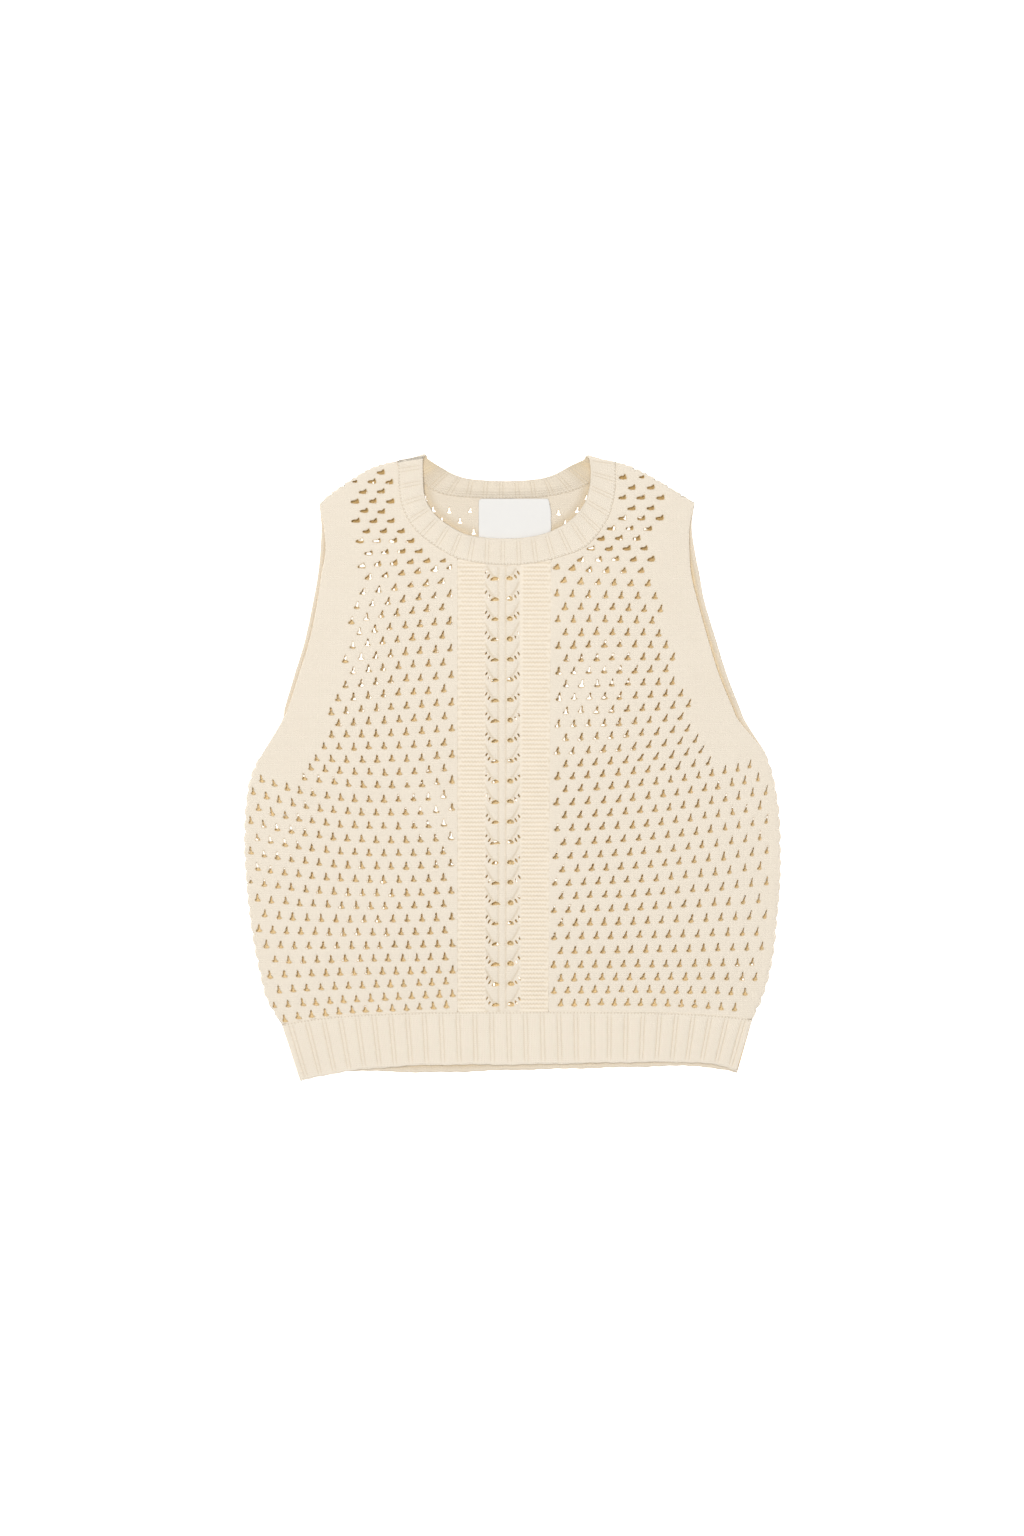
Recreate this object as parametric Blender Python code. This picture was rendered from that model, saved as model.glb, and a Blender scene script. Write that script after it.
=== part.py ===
"""A sleeveless openwork jumper laid flat on its back, as closed solid walls.

The jumper lies on the floor plane with its front up, its neck towards +Y and its hem towards -Y.
Two layers lie on each other: the back on the floor and the front on the back. At the sides and
the shoulders both walls round into each other, and the ribbed neckband folds over from the front
layer to the back layer at the two neck points. The origin is under the middle of the garment.
"""

from math import cos, pi, sin

import bmesh
import bpy
import numpy as np
from mathutils import Vector
from mathutils.geometry import delaunay_2d_cdt

# Lengths are in millimetres here and turn into metres when a mesh is made.
MM = 0.001

PANEL_WALL = 2.4        # thickness of the openwork cloth
RIB_WALL = 3.0          # thickness of the ribbed cloth
SEAM_GAP = 0.3          # pieces stay this far apart at seams
FRONT_UNDERSIDE = 3.6   # height of the front layer's lower face over the floor
MEETING_HEIGHT = 3.15   # where the front and the back meet at a side
ROLL_MARGIN = 0.6       # the rounded side is this much wider than the wall
PUFF = 1.7              # how far the front rises above the back in the middle of its halves
PUFF_REACH = 70.0       # distance from an edge over which the puff grows
WAVE_HEIGHT = 0.45      # soft uneven waves of the front
LABEL_WALL = 0.8
LABEL_WIDTH = 62.0
LABEL_HEIGHT = 39.0
LABEL_MIDDLE_X = 2.3
LABEL_CORNER = 3.0
BAND_BACK_RISE = 4.3    # the back of the neckband arches up this much
BAND_FRONT_RISE = 0.5

ROLL_SHARES = (0.0, 0.12, 0.42, 1.0)    # where a rounded edge has its lines, from the outside in
OUTLINE_STEP = 15.0     # distance between the points of an outline
FILL_STEP = 25.0        # distance between the points inside a panel
RIB_FILL_STEP = 17.0
FILL_MARGIN = 0.4       # share of that distance which stays free beside an edge

CLOTH_ROUGHNESS = 0.85
LABEL_ROUGHNESS = 0.6
CREAM = (0.887, 0.799, 0.665)
LABEL_WHITE = (0.88, 0.88, 0.87)

# Side edges of the body, from the hem seam up to the underarm: height y, left x, right x.
SIDES = (
    (-199.5, -210.7, 214.6),
    (-180.6, -215.9, 220.6),
    (-156.5, -221.0, 225.3),
    (-130.7, -225.1, 227.9),
    (-100.6, -228.3, 230.5),
    (-70.5, -230.2, 231.0),
    (-40.4, -229.6, 230.0),
    (-14.6, -226.6, 226.2),
    (2.6, -221.0, 221.9),
)
UNDERARM_LEFT = (-216.3, 10.3)
UNDERARM_RIGHT = (217.7, 14.2)

# Armhole edges, upwards: height y, left x of the back and the front, right x of the back and the
# front. The back is cut a little wider, so its edge shows outside the front's.
ARMHOLES = (
    (40.0, -198.6, -198.2, 201.2, 195.9),
    (52.5, -195.7, -192.4, 196.0, 189.7),
    (80.0, -187.5, -183.6, 185.3, 178.4),
    (110.1, -178.4, -174.2, 175.9, 169.0),
    (144.5, -171.1, -167.3, 165.6, 159.5),
    (166.0, -167.3, -164.1, 161.7, 154.4),
    (187.5, -165.1, -160.6, 157.4, 152.7),
    (209.0, -164.3, -162.2, 154.8, 153.0),
)
SHOULDER_TIP_LEFT = (-166.0, 227.0)
SHOULDER_TIP_RIGHT = (157.4, 228.3)

# Shoulder edges, from the tip towards the neck: x, y.
SHOULDER_LEFT = ((-158.7, 233.9), (-138.9, 247.7), (-119.1, 258.9))
SHOULDER_RIGHT = ((146.6, 234.8), (122.5, 249.4), (102.0, 259.6))

# The seam between the panels and the hem ribs, left to right: x, y.
HEM_SEAM = (
    (-198.2, -221.0), (-181.9, -217.6), (-138.9, -212.8), (-70.1, -210.3), (-0.4, -209.8),
    (76.1, -209.8), (144.9, -211.1), (187.9, -214.1), (206.8, -216.7),
)

# Lower edges of the hem ribs, left to right: x, y. The back's rib reaches a little lower.
HEM_EDGE_FRONT = (
    (-182.4, -268.2), (-164.7, -261.0), (-137.2, -257.2), (-70.1, -255.9), (7.3, -255.2),
    (93.3, -253.4), (153.5, -253.3), (179.3, -256.3), (193.1, -260.6),
)
HEM_EDGE_BACK = (
    (-181.0, -270.3), (-167.0, -266.6), (-137.2, -261.6), (-70.1, -262.3), (7.3, -260.1),
    (93.3, -258.0), (153.5, -256.7), (179.3, -259.7), (193.7, -262.6),
)

# Stations of the neckband's front half, from the left neck point round the front to the right
# one: x, y of the seam edge, then x, y of the free edge.
BAND_FRONT = (
    (-98.0, 262.5, -76.4, 266.0),
    (-97.6, 251.1, -76.5, 254.5),
    (-95.9, 229.5, -75.2, 235.5),
    (-88.2, 211.6, -70.1, 223.6),
    (-74.4, 196.9, -60.6, 213.3),
    (-49.5, 181.4, -41.7, 202.1),
    (-27.1, 176.3, -25.6, 198.6),
    (-4.7, 174.6, -4.7, 197.4),
    (18.0, 176.1, 15.5, 198.9),
    (40.0, 181.2, 32.5, 203.4),
    (64.5, 191.3, 50.0, 213.2),
    (81.4, 213.0, 61.5, 226.6),
    (87.3, 230.5, 66.3, 240.5),
    (89.3, 247.7, 67.6, 254.0),
    (89.0, 261.5, 66.6, 264.8),
)

# Stations of the back half, from the right neck point round the back to the left one.
BAND_BACK = (
    (84.0, 258.0, 61.5, 265.4),
    (69.0, 246.8, 50.5, 260.4),
    (50.5, 238.2, 37.0, 253.1),
    (26.0, 233.4, 22.0, 249.0),
    (-5.0, 232.2, -5.0, 247.2),
    (-38.0, 233.0, -34.0, 248.8),
    (-62.0, 236.6, -48.5, 252.4),
    (-78.0, 246.6, -61.0, 259.0),
    (-92.0, 258.4, -72.0, 266.0),
)

FOLD_DEGREES = (45, 90, 135)    # stations of the band's half turn at each neck point
SPAN_STEPS = 2                  # sections of the band from one station to the next
BAND_COLUMNS = 6                # faces across the band
NECK_CORNER = 2.2               # the panels' neck corners lie this far above the band's stations


def smooth_path(points, steps, closed=False):
    """Catmull-Rom curve through the points, with so many equal steps in each span."""
    points = np.array(points, dtype=float)
    if closed:
        padded = np.vstack((points[-1:], points, points[:2]))
    else:
        first = 2.0 * points[0] - points[1]
        last = 2.0 * points[-1] - points[-2]
        padded = np.vstack((first, points, last))
    curve = []
    for index in range(len(padded) - 3):
        before, start, end, after = padded[index:index + 4]
        for t in np.arange(steps) / steps:
            curve.append(0.5 * (2.0 * start + (end - before) * t
                                + (2.0 * before - 5.0 * start + 4.0 * end - after) * t ** 2
                                + (3.0 * start - before - 3.0 * end + after) * t ** 3))
    if not closed:
        curve.append(points[-1])
    return np.array(curve)


def even_steps(*points):
    """The smooth curve through the points, walked in equal steps."""
    curve = smooth_path(points, 12)
    lengths = np.linalg.norm(np.diff(curve, axis=0), axis=1)
    along = np.concatenate(((0.0,), np.cumsum(lengths)))
    places = np.linspace(0.0, along[-1], max(2, round(along[-1] / OUTLINE_STEP)) + 1)
    return np.column_stack([np.interp(places, along, column) for column in curve.T])


def moved_aside(points, distance):
    """The open path, moved to its left by the distance."""
    points = np.array(points, dtype=float)
    ahead = np.gradient(points, axis=0)
    ahead /= np.linalg.norm(ahead, axis=1)[:, None]
    return points + distance * np.column_stack((-ahead[:, 1], ahead[:, 0]))


def inset_loop(outline, distances):
    """The closed, anticlockwise outline with each point moved inwards by its own distance."""
    outline = np.array(outline)
    ahead = np.roll(outline, -1, axis=0) - outline
    ahead /= np.linalg.norm(ahead, axis=1)[:, None]
    behind = np.roll(ahead, 1, axis=0)
    inward = np.column_stack((-(ahead + behind)[:, 1], (ahead + behind)[:, 0]))
    stretch = 2.0 / np.maximum(np.sum(inward ** 2, axis=1), 1.0)
    return outline + inward * (stretch * distances)[:, None]


def edge_distance(point, outline):
    """Distance from a point to the nearest side of a closed outline."""
    starts = np.array(outline)
    sides = np.roll(starts, -1, axis=0) - starts
    share = np.sum((point - starts) * sides, axis=1) / np.sum(sides ** 2, axis=1)
    nearest = starts + sides * np.clip(share, 0.0, 1.0)[:, None]
    return np.min(np.linalg.norm(nearest - point, axis=1))


def is_inside(point, outline):
    """Whether a point is inside a closed outline, by counting crossings."""
    x, y = point
    inside = False
    for (x0, y0), (x1, y1) in zip(outline, np.roll(outline, -1, axis=0)):
        if (y0 > y) != (y1 > y) and x < x0 + (y - y0) * (x1 - x0) / (y1 - y0):
            inside = not inside
    return inside


def cloth_puff(point, outline):
    """How far the front stands off the back at a point: soft, uneven, nothing at the edges."""
    reach = min(edge_distance(point, outline) / PUFF_REACH, 1.0)
    grown = reach * reach * (3.0 - 2.0 * reach)
    x, y = point
    wave = WAVE_HEIGHT * sin(x / 31.0 + 0.8 * sin(y / 47.0)) * cos(y / 58.0 + x / 90.0)
    return grown * (PUFF + wave)


def material(name, colour, roughness):
    """A plain Principled material."""
    made = bpy.data.materials.new(name)
    made.use_nodes = True
    shader = made.node_tree.nodes["Principled BSDF"]
    shader.inputs["Base Color"].default_value = (*colour, 1.0)
    shader.inputs["Roughness"].default_value = roughness
    shader.inputs["Metallic"].default_value = 0.0
    made.diffuse_color = (*colour, 1.0)
    return made


def finish_object(name, build, colour, roughness):
    """Turns a filled bmesh in millimetres into a named object in metres."""
    bmesh.ops.recalc_face_normals(build, faces=build.faces)
    bmesh.ops.triangulate(build, faces=build.faces)
    bmesh.ops.scale(build, vec=(MM, MM, MM), verts=build.verts)
    mesh = bpy.data.meshes.new(name)
    build.to_mesh(mesh)
    build.free()
    mesh.shade_smooth()
    mesh.set_sharp_from_angle(angle=pi / 5.0)
    mesh.materials.append(material(f"{name}_cloth", colour, roughness))
    made = bpy.data.objects.new(name, mesh)
    bpy.context.scene.collection.objects.link(made)
    return made


def bridge(build, lower, upper):
    """Joins two closed loops of as many vertices with quads."""
    for index in range(len(lower)):
        after = (index + 1) % len(lower)
        build.faces.new((lower[index], lower[after], upper[after], upper[index]))


def fill(build, loop, loop_points, inner_points, height):
    """Fills a closed loop of vertices with triangles that also pass through the inner points."""
    places = [Vector(point) for point in loop_points] + [Vector(point) for point in inner_points]
    count = len(loop_points)
    edges = [(index, (index + 1) % count) for index in range(count)]
    _, _, faces, origins, _, _ = delaunay_2d_cdt(places, edges, [], 1, 1e-5)
    corners = list(loop) + [build.verts.new((x, y, height((x, y)))) for x, y in inner_points]
    for face in faces:
        build.faces.new([corners[origins[corner][0]] for corner in face])


def cloth_sheet(name, outline, rolled, wall, is_front, fill_step):
    """A wall of cloth in one layer, whose rolled edges round down, or up, to the other layer.

    The outline runs anticlockwise. rolled says, for each of its points, whether the edge rounds
    into the other layer there or is a free edge or a seam.
    """
    rolled = np.array(rolled, dtype=float)
    radius = wall + ROLL_MARGIN
    layer = 1.0 if is_front else -1.0
    inner_height = FRONT_UNDERSIDE if is_front else wall
    outer_height = FRONT_UNDERSIDE + wall if is_front else 0.0
    edge_height = MEETING_HEIGHT + layer * SEAM_GAP / 2.0

    def outer_at(share):
        """Height of the outer face at a share of the roll's radius in from the edge."""
        rounded = (1.0 - (1.0 - share) ** 2) ** 0.5
        return outer_height - rolled * (outer_height - edge_height) * (1.0 - rounded)

    build = bmesh.new()
    outer_loops = []
    for share in ROLL_SHARES:
        points = inset_loop(outline, np.full(len(outline), share * radius))
        heights = outer_at(share)
        outer_loops.append([build.verts.new((x, y, z)) for (x, y), z in zip(points, heights)])
    inner_heights = inner_height - rolled * (inner_height - edge_height)
    first = inset_loop(outline, rolled * wall)
    inner_edge = [build.verts.new((x, y, z)) for (x, y), z in zip(first, inner_heights)]
    last = inset_loop(outline, np.full(len(outline), radius))
    inner_last = [build.verts.new((x, y, inner_height)) for x, y in last]

    for lower, upper in zip(outer_loops, outer_loops[1:]):
        bridge(build, lower, upper)
    bridge(build, inner_edge, outer_loops[0])
    bridge(build, inner_last, inner_edge)

    low = np.min(last, axis=0)
    high = np.max(last, axis=0)
    grid = []
    for row, y in enumerate(np.arange(low[1], high[1], fill_step * sin(pi / 3.0))):
        for x in np.arange(low[0] + (row % 2) * fill_step / 2.0, high[0], fill_step):
            if is_inside((x, y), last) and edge_distance((x, y), last) > fill_step * FILL_MARGIN:
                grid.append((x, y))

    def puff(point):
        return cloth_puff(point, outline) if is_front else 0.0

    fill(build, outer_loops[-1], last, grid, lambda point: outer_height + puff(point))
    fill(build, inner_last, last, grid, lambda point: inner_height + puff(point))
    return finish_object(name, build, CREAM, CLOTH_ROUGHNESS)


def closed_outline(stretches):
    """The points of an outline, and which of them round into the other layer.

    Each stretch is a path whose last point is the next one's first, and says whether it rounds.
    """
    outline = []
    rolled = []
    for points, rounds in stretches:
        outline.extend(points[:-1])
        rolled.extend([True] + [rounds] * (len(points) - 2))
    return outline, rolled


def side(column, lowest, highest):
    """Points up one side of the body, between two corners; column 1 is left and 2 is right."""
    return even_steps(lowest, *[(row[column], row[0]) for row in SIDES], highest)


def armhole(column, lowest, highest):
    """Points up one armhole, between two corners; the column is one of the armholes' table."""
    return even_steps(lowest, *[(row[column], row[0]) for row in ARMHOLES], highest)


def panel(name, is_front):
    """The front or the back, from the hem seam to the shoulders, with its neck and armholes."""
    left_column, right_column = (2, 4) if is_front else (1, 3)
    front_half, back_half = band_halves()
    if is_front:
        neck = moved_aside(front_half[:, :2], -SEAM_GAP)[-2:0:-1]
    else:
        neck = moved_aside(back_half[:, :2], SEAM_GAP)
    neck_right = (BAND_FRONT[-1][0] + SEAM_GAP, BAND_FRONT[-1][1] + NECK_CORNER)
    neck_left = (BAND_FRONT[0][0] - SEAM_GAP, BAND_FRONT[0][1] + NECK_CORNER)
    outline, rolled = closed_outline((
        (even_steps(*HEM_SEAM), False),
        (side(2, HEM_SEAM[-1], UNDERARM_RIGHT), True),
        (armhole(right_column, UNDERARM_RIGHT, SHOULDER_TIP_RIGHT), False),
        (even_steps(SHOULDER_TIP_RIGHT, *SHOULDER_RIGHT, neck_right), True),
        (np.vstack((neck_right, neck, neck_left)), False),
        (even_steps(neck_left, *SHOULDER_LEFT[::-1], SHOULDER_TIP_LEFT), True),
        (armhole(left_column, UNDERARM_LEFT, SHOULDER_TIP_LEFT)[::-1], False),
        (side(1, HEM_SEAM[0], UNDERARM_LEFT)[::-1], True),
    ))
    return cloth_sheet(name, outline, rolled, PANEL_WALL, is_front, FILL_STEP)


def hem_rib(name, is_front):
    """The welt below the hem seam in one layer."""
    lower = HEM_EDGE_FRONT if is_front else HEM_EDGE_BACK
    seam = moved_aside(even_steps(*HEM_SEAM), -SEAM_GAP)[::-1]
    outline, rolled = closed_outline((
        (even_steps(*lower), False),
        (even_steps(lower[-1], seam[0]), True),
        (seam, False),
        (even_steps(seam[-1], lower[0]), True),
    ))
    return cloth_sheet(name, outline, rolled, RIB_WALL, is_front, RIB_FILL_STEP)


def fold_over(start, end, start_height, end_height):
    """Stations of a half turn between the two layers, bulging away from the body."""
    middle = (start_height + end_height) / 2.0
    radius = (start_height - end_height) / 2.0
    stations = []
    for degrees in FOLD_DEGREES:
        share = degrees / 180.0
        angle = pi * share
        seam_x, seam_y, free_x, free_y = np.array(start) * (1.0 - share) + np.array(end) * share
        lift = abs(radius) * sin(angle)
        stations.append((seam_x, seam_y + lift, free_x, free_y + lift,
                         middle + radius * cos(angle), 0.0))
    return stations


def band_sections():
    """Sections round the neckband: seam x, y, free x, y, height and how far each arches up."""
    half = RIB_WALL / 2.0
    high = FRONT_UNDERSIDE + half + SEAM_GAP
    low = half
    stations = [(*row, high, BAND_FRONT_RISE) for row in BAND_FRONT]
    stations += fold_over(BAND_FRONT[-1], BAND_BACK[0], high, low)
    for index, row in enumerate(BAND_BACK):
        spread = sin(pi * index / (len(BAND_BACK) - 1))
        stations.append((*row, low, BAND_BACK_RISE * spread))
    stations += fold_over(BAND_BACK[-1], BAND_FRONT[0], low, high)
    sections = smooth_path(stations, SPAN_STEPS, closed=True)
    sections[:, 4] = np.clip(sections[:, 4], low, high)
    return sections


def band_halves():
    """The sections of the band's front half and of its back half."""
    sections = band_sections()
    back_start = (len(BAND_FRONT) + len(FOLD_DEGREES)) * SPAN_STEPS
    front_half = sections[:(len(BAND_FRONT) - 1) * SPAN_STEPS + 1]
    back_half = sections[back_start:back_start + (len(BAND_BACK) - 1) * SPAN_STEPS + 1]
    return front_half, back_half


def neckband():
    """The ribbed band: a ring of sections that folds over at both neck points."""
    shares = np.arange(BAND_COLUMNS + 1) / BAND_COLUMNS
    middles = []
    for seam_x, seam_y, free_x, free_y, height, rise in band_sections():
        arch = rise * (1.0 - np.cos(2.0 * pi * shares)) / 2.0
        middles.append(np.column_stack((seam_x + (free_x - seam_x) * shares,
                                        seam_y + (free_y - seam_y) * shares, height + arch)))
    middles = np.array(middles)
    along = np.roll(middles, -1, axis=0) - np.roll(middles, 1, axis=0)
    across = np.gradient(middles, axis=1)
    across[:, 0] = across[:, -1] = middles[:, -1] - middles[:, 0]
    outward = np.cross(along, across)
    outward *= RIB_WALL / 2.0 / np.linalg.norm(outward, axis=2)[:, :, None]

    build = bmesh.new()
    loops = [[build.verts.new(point) for point in (*outer, *inner[::-1])]
             for outer, inner in zip(middles + outward, middles - outward)]
    for loop, after in zip(loops, loops[1:] + loops[:1]):
        bridge(build, loop, after)
    return finish_object("neckband", build, CREAM, CLOTH_ROUGHNESS)


def label():
    """The woven label, lying on the inside of the back just below the neckband."""
    bpy.ops.mesh.primitive_cube_add(size=1.0)
    made = bpy.context.active_object
    top = min(row[1] for row in BAND_BACK) - SEAM_GAP
    size = (LABEL_WIDTH * MM, LABEL_HEIGHT * MM, LABEL_WALL * MM)
    bottom = (PANEL_WALL + SEAM_GAP) * MM
    middle = (LABEL_MIDDLE_X * MM, (top - LABEL_HEIGHT / 2.0) * MM, bottom + size[2] / 2.0)
    mesh = made.data
    for vertex in mesh.vertices:
        vertex.co = [place + part * length for place, part, length
                     in zip(middle, vertex.co, size)]
    build = bmesh.new()
    build.from_mesh(mesh)
    upright = [edge for edge in build.edges
               if abs(edge.verts[0].co.z - edge.verts[1].co.z) > size[2] / 2.0]
    bmesh.ops.bevel(build, geom=upright, offset=LABEL_CORNER * MM, segments=3,
                    affect="EDGES", profile=0.5)
    bmesh.ops.triangulate(build, faces=build.faces)
    build.to_mesh(mesh)
    build.free()
    made.name = "label"
    mesh.name = "label"
    mesh.materials.append(material("label_cloth", LABEL_WHITE, LABEL_ROUGHNESS))
    return made


def main():
    for old in list(bpy.data.objects):
        bpy.data.objects.remove(old, do_unlink=True)
    panel("back_panel", is_front=False)
    panel("front_panel", is_front=True)
    hem_rib("back_hem_rib", is_front=False)
    hem_rib("front_hem_rib", is_front=True)
    neckband()
    label()


main()
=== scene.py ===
"""A sleeveless openwork jumper laid flat: its knitted cloth, ribs, neckband and label.

The cloth is made in millimetres, in the frame's axes, and turned into metres when a mesh is made.
Each panel is a closed sheet with real eyelets, which follows the frame's solid of the same panel.
"""

from math import pi, radians, sin

import bpy
import numpy as np
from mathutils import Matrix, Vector
from mathutils.geometry import delaunay_2d_cdt


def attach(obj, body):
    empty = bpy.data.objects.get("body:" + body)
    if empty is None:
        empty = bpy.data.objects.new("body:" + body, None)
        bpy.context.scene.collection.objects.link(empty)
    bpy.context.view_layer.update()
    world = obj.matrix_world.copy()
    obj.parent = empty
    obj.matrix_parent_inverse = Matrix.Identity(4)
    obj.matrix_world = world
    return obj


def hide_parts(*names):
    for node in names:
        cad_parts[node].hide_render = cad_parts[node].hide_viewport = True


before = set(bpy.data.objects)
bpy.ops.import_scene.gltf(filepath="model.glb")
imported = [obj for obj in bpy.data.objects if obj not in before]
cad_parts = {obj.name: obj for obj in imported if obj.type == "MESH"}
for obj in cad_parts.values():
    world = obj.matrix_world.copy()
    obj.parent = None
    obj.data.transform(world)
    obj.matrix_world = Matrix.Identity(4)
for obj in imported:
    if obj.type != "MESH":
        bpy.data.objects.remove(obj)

bl_info = {
    "name": "Openwork Jumper",
    "version": (1, 0, 0),
    "blender": (4, 5, 0),
    "location": "3D View > Sidebar > Jumper",
    "description": "Knits a sleeveless openwork jumper, laid flat, over its solid frame",
    "category": "Object",
}

MM = 0.001

# The cloth's thickness and how its layers lie, in millimetres.
PANEL_WALL = 2.4
RIB_WALL = 3.0
FRONT_UNDERSIDE = 3.6   # height of the front layer's lower face over the floor
MEETING_HEIGHT = 3.15   # where the front and the back meet at a side
ROLL_RADIUS = 3.0       # the rounded sides are this wide
SEAM_RADIUS = 1.5       # the rounded free edges are this wide
JOIN_RADIUS = 0.6       # and the upright edges that meet the panels have this small a rounding
JOIN_SHARE = 0.7        # over an upright part with this share of the thickness
PUFF = 1.7              # the front's middle stands this much further off the back than its edges
PUFF_REACH = 70.0       # this far in from them
WAVE_HEIGHT = 0.45      # and is uneven by this much
BAND_BACK_RISE = 4.3    # how far the back half of the neckband arches up in its middle
BAND_FRONT_RISE = 0.5   # and the front half
NECK_CORNER = 2.2       # a panel's corners lie this much above the neckband's seam
BAND_GAP = 0.3          # the front band's underside lies this much above the front's

EDGE_STEP = 2.6         # distance between the points of an outline
CORNER_ROOM = 4.2       # no other point lies closer to a corner of an outline
EDGE_ROWS = (0.3, 0.8, 1.6, 2.6)    # rows of points beside an outline
COARSE_STEP = 15.0      # distance between the points of the outline that the puff starts from
EDGE_REACH = 8.0        # distances to an edge matter up to here
CURVE_STEPS = 12        # steps between two points of a table, in a smooth curve through them
HALF_CELLS = 2048       # cells on each side of the middle, in the grid that speeds up distances
AT_A_TIME = 2500        # how many points' distances are worked out together

SHARED, SPLIT = 0, 1    # the two faces share an outline's point, or a joint wall parts them
ROUNDED, OPEN, JOINED = 0, 1, 2     # a side of a panel folds over, is free, or meets a band

SCALLOP_PITCH = 11.2    # the side edges bow out between the rows of eyelets
SCALLOP_HEIGHT = 2.0
SHOULDER_PITCH = 6.6    # and the shoulders between their seam's stitches
SHOULDER_BUMP = 1.9
SCALLOP_FADE = 12.0     # they are lower than this within such a distance of an end

# Side edges of the body, from the hem seam up to the underarm: height y, left x, right x.
SIDES = (
    (-199.5, -210.7, 214.6),
    (-180.6, -215.9, 220.6),
    (-156.5, -221.0, 225.3),
    (-130.7, -225.1, 227.9),
    (-100.6, -228.3, 230.5),
    (-70.5, -230.2, 231.0),
    (-40.4, -229.6, 230.0),
    (-14.6, -226.6, 226.2),
    (2.6, -221.0, 221.9),
)
UNDERARM_LEFT = (-216.3, 10.3)
UNDERARM_RIGHT = (217.7, 14.2)

# Armhole edges, upwards: height y, left x of the back and the front, right x of the back and the
# front.
ARMHOLES = (
    (40.0, -198.6, -198.2, 201.2, 195.9),
    (52.5, -195.7, -192.4, 196.0, 189.7),
    (80.0, -187.5, -183.6, 185.3, 178.4),
    (110.1, -178.4, -174.2, 175.9, 169.0),
    (144.5, -171.1, -167.3, 165.6, 159.5),
    (166.0, -167.3, -164.1, 161.7, 154.4),
    (187.5, -165.1, -160.6, 157.4, 152.7),
    (209.0, -164.3, -162.2, 154.8, 153.0),
)
SHOULDER_TIP_LEFT = (-166.0, 227.0)
SHOULDER_TIP_RIGHT = (157.4, 228.3)

# Shoulder edges, from the tip towards the neck: x, y.
SHOULDER_LEFT = ((-158.7, 233.9), (-138.9, 247.7), (-119.1, 258.9))
SHOULDER_RIGHT = ((146.6, 234.8), (122.5, 249.4), (102.0, 259.6))

# The seam between the panels and the hem ribs, left to right: x, y.
HEM_SEAM = (
    (-198.2, -221.0), (-181.9, -217.6), (-138.9, -212.8), (-70.1, -210.3), (-0.4, -209.8),
    (76.1, -209.8), (144.9, -211.1), (187.9, -214.1), (206.8, -216.7),
)

# Lower edges of the hem ribs, left to right: x, y.
HEM_EDGE_FRONT = (
    (-182.4, -269.6), (-164.7, -265.2), (-139.8, -260.8), (-118.0, -258.3), (-70.1, -255.6),
    (7.3, -255.2),
    (93.3, -253.4), (153.5, -253.3), (179.3, -256.3), (193.1, -260.6),
)
HEM_EDGE_BACK = (
    (-181.4, -269.2), (-164.0, -264.6), (-137.2, -261.0), (-70.1, -262.3), (7.3, -260.1),
    (93.3, -258.0), (153.5, -256.7), (179.3, -259.7), (193.7, -262.6),
)

# Stations of the neckband's front half, from the left neck point round the front to the right
# one: x, y of the seam edge, then x, y of the free edge.
BAND_FRONT = (
    (-98.0, 262.5, -76.4, 266.0),
    (-97.6, 251.1, -76.5, 254.5),
    (-95.9, 229.5, -75.2, 235.5),
    (-88.2, 211.6, -70.1, 223.6),
    (-74.4, 196.9, -60.6, 213.3),
    (-49.5, 181.4, -41.7, 202.1),
    (-27.1, 176.3, -25.6, 198.6),
    (-4.7, 174.6, -4.7, 197.4),
    (18.0, 176.1, 15.5, 198.9),
    (40.0, 181.2, 32.5, 203.4),
    (64.5, 191.3, 50.0, 213.2),
    (81.4, 213.0, 61.5, 226.6),
    (87.3, 230.5, 66.3, 240.5),
    (89.3, 247.7, 67.6, 254.0),
    (89.0, 261.5, 66.6, 264.8),
)

# Stations of the back half, from the right neck point round the back to the left one.
BAND_BACK = (
    (84.0, 258.0, 61.5, 265.4),
    (69.0, 246.8, 50.5, 260.4),
    (50.5, 238.2, 37.0, 253.1),
    (26.0, 233.4, 22.0, 249.0),
    (-5.0, 232.2, -5.0, 247.2),
    (-38.0, 233.0, -34.0, 248.8),
    (-62.0, 236.6, -48.5, 252.4),
    (-78.0, 246.6, -61.0, 259.0),
    (-92.0, 258.4, -72.0, 266.0),
)
FOLD_DEGREES = (45, 90, 135)    # the stations of its half turn at each neck point
NECK_POINT_SHARE = 1.8          # there its free edge bulges this many times as far as its seam

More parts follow.
